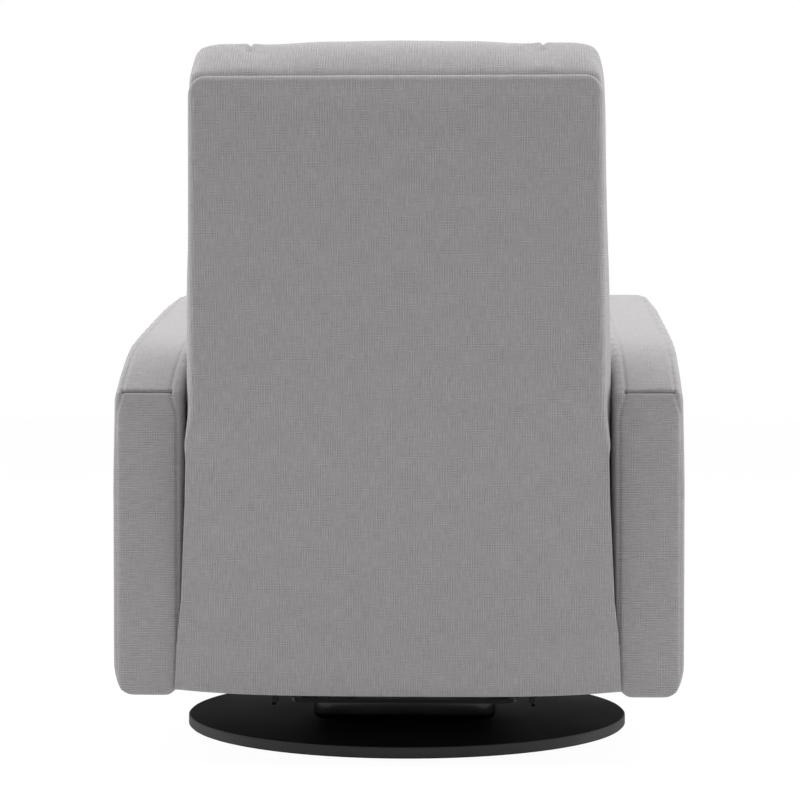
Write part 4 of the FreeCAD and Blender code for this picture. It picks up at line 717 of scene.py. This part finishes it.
# The outer side is full in the middle, the shoulder is thin and the rear leans: how much, and in which zone,
# by its start and run along Y and up.
SIDE_FULL, FULL_HALF, SHOULDER_THIN, REAR_LEAN = 0.002, 0.36, 0.0022, 0.0035
THIN_ALONG, THIN_UP = (0.1, 0.25), (0.37, 0.14)
LEAN_ALONG, LEAN_UP = (0.28, 0.06), (0.14, 0.26)
ARM_VOXEL = 0.0075


def depth_in(places, outline):
    """Distance of each point from the outline of the side view, and how far up that outline faces."""
    spot = places[:, 1:]
    depth, upward = np.full(len(spot), 9.0), np.zeros(len(spot))
    for start, end, facing in outline:
        run = end - start
        share = np.clip((spot - start) @ run / (run @ run), 0, 1)
        gap = np.linalg.norm(spot - start - share[:, None] * run, axis=1)
        nearer = gap < depth
        depth[nearer], upward[nearer] = gap[nearer], facing
    return depth, upward


def rounded(near):
    """How far a quarter round has drawn in, from 0 where it starts to 1 at its end."""
    return 1 - np.sqrt(1 - 0.98 * near ** 2)


def soften_edges(places, outline):
    """Draw the sides in near the outline: most at the nose and the foot, least at the two ends."""
    x, y, z = places.T
    depth, upward = depth_in(places, outline)
    top = rise(upward, 0, TOP_FACING)
    width = EDGE_END[0] + (np.interp(y, TOP_ALONG, TOP_WIDTH) - EDGE_END[0]) * top
    reach = EDGE_END[1] + (np.interp(y, TOP_ALONG, TOP_REACH) - EDGE_END[1]) * top
    near = np.clip(1 - depth / reach, 0, 1) * (upward > UNDER_FACING)
    low = np.clip(1 - (z - ARM_LOW) / EDGE_FOOT[1], 0, 1)
    drawn = width * rounded(near) + EDGE_FOOT[0] * rounded(low) * (1 - rounded(near))
    side = (x - ARM_MIDDLE) / ARM_HALF
    x = x - side * drawn * np.where(side > 0, 1, INNER_DRAW + INNER_FOOT * low)
    fullness = SIDE_FULL * np.clip(1 - (y / FULL_HALF) ** 2, 0, 1)
    fullness = fullness - SHOULDER_THIN * rise(z, *THIN_UP) * rise(y, *THIN_ALONG)
    x = x + fullness * np.clip(side, 0, 1)
    rear = rise(y, *LEAN_ALONG) * rise(z, *LEAN_UP)
    x = x + REAR_LEAN * rear * np.clip(side, -1, 0)
    return np.stack([x, y, z], 1)


left_arm = even_skin("left_arm_cover", arm_solid, ARM_VOXEL)
move_points(left_arm, soften_edges(points(left_arm), arm_outline))
print("arm skin:", len(left_arm.data.polygons), "faces")

# %% Stuff the arm and sew it
STRIP_INSET, PANEL_INSET, INSET_RUN = 0.0145, 0.006, 0.036
EDGES_LOW, REAR_START, CROSS_START = 0.125, 0.3, 0.37
ARM_HOLD, ARM_SWELL, INNER_HOLD, INNER_TOP = 0.005, 0.004, 0.004, 0.48
FAR = 1.0  # distance given to points that a seam doesn't reach
FLANK = 0.97  # a normal that points this much along X belongs to a side panel


def arm_edges(places, out):
    """Distance of each point of the left arm to the seams along its edges."""
    x, y, z = places.T
    below = rise(z, ARM_SEAM, -INSET_RUN)
    inset = STRIP_INSET + (PANEL_INSET - STRIP_INSET) * below * (y > REAR_START)
    edge = abs(abs(x - ARM_MIDDLE) - ARM_HALF + inset)
    return np.where((z > EDGES_LOW) & (abs(out[:, 0]) < FLANK), edge, FAR)


def arm_crosses(places, out):
    """Distance of each point of the left arm to the seam across its rear."""
    x, y, z = places.T
    beyond = np.maximum(abs(x - ARM_MIDDLE) - ARM_HALF + STRIP_INSET, 0)
    return np.where(y > CROSS_START, np.hypot(z - ARM_SEAM, beyond), FAR)


def arm_pinches(places, out):
    """Distance to the corners where the cross seam meets the edge seams."""
    x = places[:, 0]
    return np.hypot(abs(x - ARM_MIDDLE) - ARM_HALF + STRIP_INSET, arm_crosses(places, out))


def sew_arm(arm):
    places, out = points(arm), normals(arm)
    held = np.minimum(arm_edges(places, out), arm_crosses(places, out)) < ARM_HOLD
    held |= (places[:, 0] < ARM_IN + INNER_HOLD) & (places[:, 2] < INNER_TOP)
    stuff(arm, held, ARM_SWELL)
    refine(arm)
    press_seams(arm, [(arm_edges, 0.0014, 0.0022, False), (arm_crosses, 0.0045, 0.0020, True),
                      (arm_pinches, 0.0075, 0.0028, True)])


sew_arm(left_arm)
print("left arm:", len(left_arm.data.polygons), "faces")

# %% Mirror the right arm and cut the openings
# Room for the frame inside each arm, and for the cup of the handle in the right one.
LEFT_ROOM = (0.270, -0.348, 0.111), (0.3056, 0.351, 0.283)
RIGHT_ROOM = (-0.3056, -0.348, 0.111), (-0.270, 0.351, 0.283)
CUP_ROOM, CUP_CORNER = ((-0.400, -0.2953, 0.4087), (-0.3517, -0.1767, 0.4753)), 0.014


def mirror_copy(thing, name):
    skin = bmesh.new()
    skin.from_mesh(thing.data)
    bmesh.ops.scale(skin, vec=(-1, 1, 1), verts=skin.verts)
    bmesh.ops.reverse_faces(skin, faces=skin.faces)
    return made_object(name, skin)


def box_block(low, high):
    block = bmesh.new()
    bmesh.ops.create_cube(block, size=1)
    bmesh.ops.scale(block, vec=[b - a for a, b in zip(low, high)], verts=block.verts)
    bmesh.ops.translate(block, vec=[(a + b) / 2 for a, b in zip(low, high)], verts=block.verts)
    return block


def round_along(block, axis, offset, segments):
    """Round the edges of a box that run along one axis."""
    folds = [e for e in block.edges if abs(e.verts[0].co[axis] - e.verts[1].co[axis]) > 1e-4]
    bmesh.ops.bevel(block, geom=folds, offset=offset, segments=segments, profile=0.5,
                    affect="EDGES", material=-1)


def cut_away(thing, room, corner=0.0):
    """Cut a box out of a cover, with its edges along X rounded if asked."""
    block = box_block(*room)
    if corner:
        round_along(block, 0, corner, 6)
    cutter = made_object("cutter", block)
    cut = thing.modifiers.new("cut", "BOOLEAN")
    cut.operation, cut.solver, cut.object = "DIFFERENCE", "EXACT", cutter
    made = settled(thing)
    bpy.data.objects.remove(cutter)
    swap_mesh(thing, made)


right_arm = mirror_copy(left_arm, "right_arm_cover")
cut_away(left_arm, LEFT_ROOM)
cut_away(right_arm, RIGHT_ROOM)
cut_away(right_arm, CUP_ROOM, CUP_CORNER)
for arm, node in ((left_arm, "left_arm_pad"), (right_arm, "right_arm_pad")):
    lay_weave(arm, crosswise=True)
    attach(arm, "chair")
    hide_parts(node)
print("arms sewn:", len(left_arm.data.polygons), "and", len(right_arm.data.polygons), "faces")

# %% [markdown]
# ## Back cushion
# The back is a boxed cushion with a full centre panel between two side bolsters. The CAD solid has that
# form already, with a pocket for the frame, so its mesh is copied and merged, and the pocket is closed
# before the skin is made. The two long seams and the seams of the side boxing stay held while it swells.

# %% Copy the back's block and close its pocket
RAKE = math.radians(9)
PIVOT = np.array([0, 0.365, 0.470])
POCKET_HALF, POCKET_BEHIND, POCKET_ABOVE = 0.2494, (-0.045, 0.0459), (-0.1535, 0.4285)
BOLT_RADIUS, BOLT_START = 0.0095, 0.2
BACK_VOXEL = 0.0078


def upright(places):
    """Points of the leaning back in its own upright frame: across, behind the pivot, above the pivot."""
    spot = places - PIVOT
    behind = spot[:, 1] * math.cos(RAKE) - spot[:, 2] * math.sin(RAKE)
    above = spot[:, 1] * math.sin(RAKE) + spot[:, 2] * math.cos(RAKE)
    return spot[:, 0], behind, above


def within(values, limits):
    return (values > limits[0]) & (values < limits[1])


def in_back_pocket(middles):
    x, behind, above = upright(middles)
    pocket = (abs(x) < POCKET_HALF) & within(behind, POCKET_BEHIND) & within(above, POCKET_ABOVE)
    bolt = (np.hypot(behind, above) < BOLT_RADIUS) & (abs(x) > BOLT_START)
    return pocket | bolt


def closed_copy(node, hidden=None):
    """Merged copy of a CAD mesh, without the faces of its pocket and with the holes closed."""
    block = bmesh.new()
    block.from_mesh(nodes[node].data)
    bmesh.ops.remove_doubles(block, verts=block.verts, dist=1e-5)
    if hidden:
        middles = np.array([f.calc_center_median() for f in block.faces])
        inner = [f for f, out in zip(block.faces, hidden(middles)) if out]
        bmesh.ops.delete(block, geom=inner, context="FACES")
        rims = [e for e in block.edges if e.is_boundary]
        bmesh.ops.holes_fill(block, edges=rims, sides=0)
        bmesh.ops.triangulate(block, faces=[f for f in block.faces if len(f.verts) > 4])
    bmesh.ops.recalc_face_normals(block, faces=block.faces)
    return block


back = even_skin("back_cover", closed_copy("back_cushion", in_back_pocket), BACK_VOXEL)
print("back skin:", len(back.data.polygons), "faces")

# %% Find the seams of the back
BORDER, DROP = 0.461, 0.165
LOW_HALF, TOP_HALF, LONG_SEAM = 0.280, 0.267, 0.194
BOXING_INSET, BOXING_REAR, BOXING_LOW = 0.007, -0.05, -0.15
BOXING_FADE, FADE_ZONE = 0.008, (-0.085, 0.035)


def back_half(above):
    return LOW_HALF + (TOP_HALF - LOW_HALF) * (above + DROP) / (BORDER + DROP)


def back_seams(places, out):
    """Distance to the long seams and to the boxing seams, which fade towards the rear."""
    x, behind, above = upright(places)
    half = back_half(above)
    long_seam = np.where(behind < 0.0, abs(abs(x) - LONG_SEAM / TOP_HALF * half), FAR)
    flank = abs(out[:, 0]) > FLANK
    fading = BOXING_FADE * rise(behind, *FADE_ZONE)
    boxing = abs(abs(x) - half + BOXING_INSET) + fading
    boxing = np.where(flank | (behind > BOXING_REAR) | (above < BOXING_LOW), FAR, boxing)
    return np.minimum(long_seam, boxing)


print("half width of the back at its pivot:", round(back_half(0), 4), "m")

# %% Stuff the back
SEAM_HOLD, BACK_SWELL, FRAME_FACE, FOOT_HOLD = 0.0045, 0.007, 0.040, -0.14
# How far the sides stand out, and the start and run of the zones, across, behind the pivot and above it.
FLARE_LEAST, FLARE_MORE, FOOT_LESS = 0.0008, 0.0032, 0.4
FLARE_ACROSS, FLARE_BEHIND, FLARE_ABOVE, FLARE_FOOT = (0.2, 0.06), (0.040, -0.09), (0.36, -0.33), (0.1, -0.15)
# Lift of the crest with its zones, and two more lifts along the long seams, each with its width.
CREST_LIFT, CREST_ACROSS, CREST_ABOVE = 0.0018, (0.05, 0.07), (0.42, 0.06)
SEAM_LIFTS = (0.0048, 0.012), (0.0018, 0.03)


def flare_sides(back):
    """Let the sides stand out towards the front, most in the lower half."""
    places = points(back)
    x, behind, above = upright(places)
    low_flare = rise(above, *FLARE_ABOVE) * (1 - FOOT_LESS * rise(above, *FLARE_FOOT))
    flare = rise(behind, *FLARE_BEHIND) * (FLARE_LEAST + FLARE_MORE * low_flare)
    places[:, 0] += np.sign(x) * flare * np.clip((abs(x) - FLARE_ACROSS[0]) / FLARE_ACROSS[1], 0, 1)
    move_points(back, places)


def back_held(back):
    """Points that stay where they are: at the seams, on the frame behind and at the foot."""
    places = points(back)
    x, behind, above = upright(places)
    return (back_seams(places, normals(back)) < SEAM_HOLD) | (behind > FRAME_FACE) | (above < FOOT_HOLD)


def raise_crest(back):
    """Fill the crest out where the long seams would pull it down too far."""
    places = points(back)
    x, behind, above = upright(places)
    lift = CREST_LIFT * rise(abs(x), *CREST_ACROSS)
    for height, width in SEAM_LIFTS:
        lift = lift + height * groove(abs(abs(x) - LONG_SEAM), width)
    places[:, 2] += lift * rise(above, *CREST_ABOVE)
    move_points(back, places)


flare_sides(back)
stuff(back, back_held(back), BACK_SWELL)
refine(back)
raise_crest(back)
press_seams(back, [(back_seams, 0.0035, 0.0028, False)])
lay_weave(back, RAKE)
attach(back, "backrest")
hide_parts("back_cushion")
print("back:", len(back.data.polygons), "faces")

# %% [markdown]
# ## Seat and footrest
# The seat rests on wire springs and rolls over its front edge. The footrest pad closes the front below it.
# Each could be shaped anew, but their CAD solids have the right outline, so both are skins of these, held at
# their seams and where they rest on the frame. One helper sews both.

# %% Stuff the seat and the footrest pad
SEAT_SIDE, SEAT_FRONT, SEAT_REST, SEAT_LIP = 0.2735, 0.345, 0.296, 0.0065
SEAT_LOW, SEAT_NOSE, FRONT_FACING = 0.31, -0.30, -0.3
FOOT_SIDE, FOOT_LEVELS, FOOT_REST, FOOT_FACE = 0.274, (0.249, 0.123), -0.358, -0.355
LIP_START, LIP_RUN, LIP_TOP, LIP_FADE = -0.338, 0.02, 0.40, 0.10


def seat_seams(places, out):
    """Distance to the seams along the sides of the seat and across its front."""
    x, y, z = places.T
    side = np.where((abs(out[:, 0]) > FLANK) | (z < SEAT_LOW), FAR, abs(abs(x) - SEAT_SIDE))
    front = np.where((y < SEAT_NOSE) & (out[:, 1] < FRONT_FACING), abs(z - SEAT_FRONT), FAR)
    return np.minimum(side, front)


def foot_seams(places, out):
    """Distance to the seams along the sides of the footrest pad and across its face."""
    x, y, z = places.T
    faced = (out[:, 1] < FRONT_FACING) & (abs(x) < FOOT_SIDE + 0.002)
    side = np.where(abs(out[:, 0]) > FLANK, FAR, abs(abs(x) - FOOT_SIDE))
    level = np.where(faced, np.min([abs(z - seam) for seam in FOOT_LEVELS], axis=0), FAR)
    return np.where(y > FOOT_FACE, FAR, np.minimum(side, level))


def sewn_pad(name, node, body, seams, resting, voxel, swell, lip=0.0):
    """Cover of a pad that is held at its seams and where it rests, with its front edge let down by a lip."""
    pad = even_skin(name, closed_copy(node), voxel)
    places, out = points(pad), normals(pad)
    front = rise(places[:, 1], LIP_START, -LIP_RUN)
    places[:, 2] -= lip * front * np.clip((LIP_TOP - places[:, 2]) / LIP_FADE, 0, 1)
    move_points(pad, places)
    stuff(pad, (seams(places, out) < SEAM_HOLD) | resting(places), swell)
    refine(pad)
    press_seams(pad, [(seams, 0.003, 0.0026, False)])
    lay_weave(pad)
    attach(pad, body)
    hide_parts(node)
    print(name, len(pad.data.polygons), "faces")


sewn_pad("seat_cover", "seat_cushion", "seat", seat_seams, lambda places: places[:, 2] < SEAT_REST,
         voxel=0.0078, swell=0.010, lip=SEAT_LIP)
sewn_pad("footrest_cover", "footrest_pad", "footrest", foot_seams, lambda places: places[:, 1] > FOOT_REST,
         voxel=0.0065, swell=0.006)

# %% [markdown]
# ## Cloth over the bare rails
# An upholsterer leaves no timber showing: a strip of the cover goes down the front rail of the seat, and
# cloth goes round the footrest board and the apron rail. A plain box over each would do from afar, but
# cloth turns in at its edge and is never quite flat. So the strip is a grid of points that bends at its
# lower edge, the sleeves are open boxes with rounded folds, and both get their thickness last.

# %% Face the front rail of the seat
FACING_TOP, FACING_LOW, FACING_THICK = 0.2890, 0.2602, 0.0016
FACING_GAP, FACING_TURN, FACING_BEND, FACING_INSET = 0.0012, 0.0010, 0.004, 0.001
FACING_WAVE, FACING_WAVES = 0.0005, 40


def flat_cloth(name, columns, rows):
    """Object of one square metre of cloth, cut into columns and rows."""
    sheet = bmesh.new()
    bmesh.ops.create_grid(sheet, x_segments=columns, y_segments=rows, size=0.5)
    return made_object(name, sheet)


def thicken(thing, thickness, offset):
    wall = thing.modifiers.new("wall", "SOLIDIFY")
    wall.thickness, wall.offset = thickness, offset
    swap_mesh(thing, settled(thing))


def rail_facing():
    """Strip of the same cloth down the front of the seat's rail, with its lower edge turned in."""
    low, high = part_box("seat_front_rail")
    width = 2 * (high[0] - FACING_INSET)
    facing = flat_cloth("seat_front_facing", 60, 16)
    flat = points(facing)
    height = FACING_LOW + (FACING_TOP - FACING_LOW) * (flat[:, 1] + 0.5)
    turn = 1 - rise(height, FACING_LOW, FACING_BEND)
    wave = FACING_WAVE * np.sin(flat[:, 0] * FACING_WAVES)
    y = low[1] - FACING_THICK - FACING_GAP + FACING_TURN * turn - wave
    move_points(facing, np.stack([flat[:, 0] * width, y, height], 1))
    thicken(facing, FACING_THICK, 0)
    smooth_faces(facing)
    lay_weave(facing)
    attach(facing, "seat")
    print("rail facing:", len(facing.data.polygons), "faces")


rail_facing()

# %% Wrap the footrest board and the apron rail
SLEEVE_EASE, SLEEVE_END, SLEEVE_FOLD = 0.0003, 0.0005, 0.0015


def cloth_sleeve(name, node, along, thick, body):
    """Cloth round the four sides of a board or rail, open at its two ends along one axis."""
    low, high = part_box(node)
    inset = [-SLEEVE_EASE if axis != along else SLEEVE_END for axis in range(3)]
    low, high = [a + i for a, i in zip(low, inset)], [b - i for b, i in zip(high, inset)]
    block = box_block(low, high)
    block.normal_update()
    ends = [f for f in block.faces if abs(f.normal[along]) > 0.9]
    bmesh.ops.delete(block, geom=ends, context="FACES")
    round_along(block, along, SLEEVE_FOLD, 3)
    sleeve = made_object(name, block)
    thicken(sleeve, thick, 1)
    lay_weave(sleeve)
    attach(sleeve, body)
    girth = 2 * sum(b - a for axis, (a, b) in enumerate(zip(low, high)) if axis != along)
    high[along] - low[along]
    print(name, "girth", round(girth, 3), "m")


cloth_sleeve("footrest_board_wrap", "footrest_board", 1, 0.0012, "footrest")
cloth_sleeve("apron_rail_wrap", "rear_apron_rail", 0, 0.0008, "chair")

# %% [markdown]
# ## Outside back
# One length of cloth covers the outside of the back and hangs on as a flap down to the apron rail. Above,
# it wraps round the corners of the cushion, tucks in at the seam and lies on the backrest. Below, it
# widens between the arms and turns under at its hem. Between the two the cloth is a little slack. A
# simulated drape would be a guess at each run, so the sheet is a grid whose rows and columns are laid
# along measured lines.

# %% Draw the lines of the outside back
HEM_LOW, HEM_TURN, FOLD_LOW, FOLD_HIGH = 0.0978, 0.032, 0.400, 0.520
SHEET_BEHIND, SHEET_THICK, CORNER, SEWN_EDGE = 0.0515, 0.003, 0.022, 0.4585
SHEET_TOP = PIVOT[2] - SHEET_BEHIND * math.sin(RAKE) + SEWN_EDGE * math.cos(RAKE)
FLAP_HEIGHTS, FLAP_LINE = [0.095, 0.167, 0.271, 0.437], [0.3975, 0.3965, 0.4068, 0.4205]
HALF_HEIGHTS = [0.095, 0.120, 0.150, 0.180, 0.227, 0.36, 0.41]
FLAP_HALF = [0.2992, 0.2980, 0.2968, 0.2948, 0.2895, 0.2826, 0.2810]


def back_line(height):
    """Place along Y of the leaning outside back at a height, and how far above the pivot it is."""
    above = (height - PIVOT[2] + SHEET_BEHIND * math.sin(RAKE)) / math.cos(RAKE)
    return PIVOT[1] + SHEET_BEHIND * math.cos(RAKE) + above * math.sin(RAKE), above


def turned(run, round_off=0.008):
    """Run along the sheet as a smooth corner: how far under it has gone, and how far up."""
    return (np.hypot(run, round_off) - run) / 2, (np.hypot(run, round_off) + run) / 2


def finer_end(share, total, end, end_share):
    """Length along the cloth for a share of its rows, with the last end_share of them close together."""
    inner = share / (1 - end_share) * (total - end)
    return np.where(share < 1 - end_share, inner, total - end + (share - 1 + end_share) / end_share * end)


print("outside back from", HEM_LOW, "to", round(SHEET_TOP, 4), "m")

# %% Hang the outside back
WRAP_SIDE, WRAP_TOP, TUCK = 0.008, 0.005, 0.95
WIDEN_LOW, WIDEN_RUN, TUCK_RUN = 0.415, 0.075, 0.03
TOP_ROWS, SIDE_COLUMNS = (0.012, 0.05), (0.022, 0.18)
SHEET_INSET, TOP_EASE, EASE_RUN, FULLNESS, FULL_RUN = 0.0008, 0.0035, 0.035, 0.004, 0.05
HEM_LIFT, HEM_RUN, SLACK_HEIGHT, SLACK_SPREAD = 0.0078, 0.1, 0.448, 0.028


def hung(flat):
    """Where the points of the flat cloth hang, and where they lie in the weave."""
    across = flat[:, 0] * 2
    run = finer_end(flat[:, 1] + 0.5, SHEET_TOP - HEM_LOW + HEM_TURN, *TOP_ROWS) - HEM_TURN
    under, up = turned(run)
    height = HEM_LOW + up
    upper, above = back_line(height)
    join = rise(height, FOLD_LOW, FOLD_HIGH - FOLD_LOW)
    widen = rise(height, WIDEN_LOW, WIDEN_RUN)
    flap_half = np.interp(height, HALF_HEIGHTS, FLAP_HALF)
    half = (back_half(above) - SHEET_INSET) * widen + flap_half * (1 - widen)
    rounding = np.clip((height - (SHEET_TOP - CORNER)) / CORNER, 0, 1)
    half = half - CORNER * (1 - np.sqrt(np.clip(1 - rounding ** 2, 0, 1)))
    wrap = np.maximum(WRAP_SIDE * widen, 1e-5)
    turn = math.pi / 2 + TUCK * rise(height, FOLD_HIGH, TUCK_RUN)
    out = finer_end(abs(across), half - wrap + wrap * turn, *SIDE_COLUMNS)
    bend = np.clip((out - half + wrap) / wrap, 0, turn)
    x = np.sign(across) * (np.minimum(out, half - wrap) + wrap * np.sin(bend))
    share, from_top = abs(x) / half, np.maximum(SHEET_TOP - height, 0)
    dip = WRAP_TOP * (1 - np.sqrt(1 - np.clip(1 - from_top / WRAP_TOP, 0, 1) ** 2))
    dip = dip + TOP_EASE * (1 - rise(from_top, 0, EASE_RUN))
    flap = np.interp(height, FLAP_HEIGHTS, FLAP_LINE)
    y = flap * (1 - join) + upper * join - np.maximum(wrap * (1 - np.cos(bend)), dip)
    y = y + FULLNESS * np.clip(1 - share ** 2, 0, 1) * rise(from_top, 0, FULL_RUN) - under
    slack = np.exp(-((height - SLACK_HEIGHT) / SLACK_SPREAD) ** 2)
    y = y + slack * (0.0016 * np.sin(x * 31 + 1.1) + 0.0011 * np.sin(x * 67 + height * 40))
    height = height + HEM_LIFT * share ** 4 * np.clip(1 - up / HEM_RUN, 0, 1)
    return np.stack([x, y, height], 1), np.stack([np.sign(across) * out, HEM_LOW + run], 1)


cover = flat_cloth("outside_back", 150, 220)
hanging, laid = hung(points(cover))
move_points(cover, hanging)
lay_uv(cover.data, laid[counts(cover.data.loops, "vertex_index")])
thicken(cover, SHEET_THICK, -1)
smooth_faces(cover)
cover.data.materials.append(cloth)
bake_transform(cover)
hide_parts("outside_back_panel", "lower_back_flap")
print("outside back:", len(cover.data.polygons), "faces")

# %% [markdown]
# ## Rocking springs
# Four coil springs stand between the carriage below and the bars of the chair above. A real spring has one
# end on each, and stretches as the chair rocks. Here the coils are a merged copy of the CAD mesh.

# %% Copy the rocking springs
rocking_coils = made_object("rocking_coils", closed_copy("rock_springs"))
smooth_faces(rocking_coils)
rocking_coils.data.materials.append(finishes["spring_steel"])
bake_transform(rocking_coils)
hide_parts("rock_springs")
print("rocking springs:", len(rocking_coils.data.polygons), "faces")
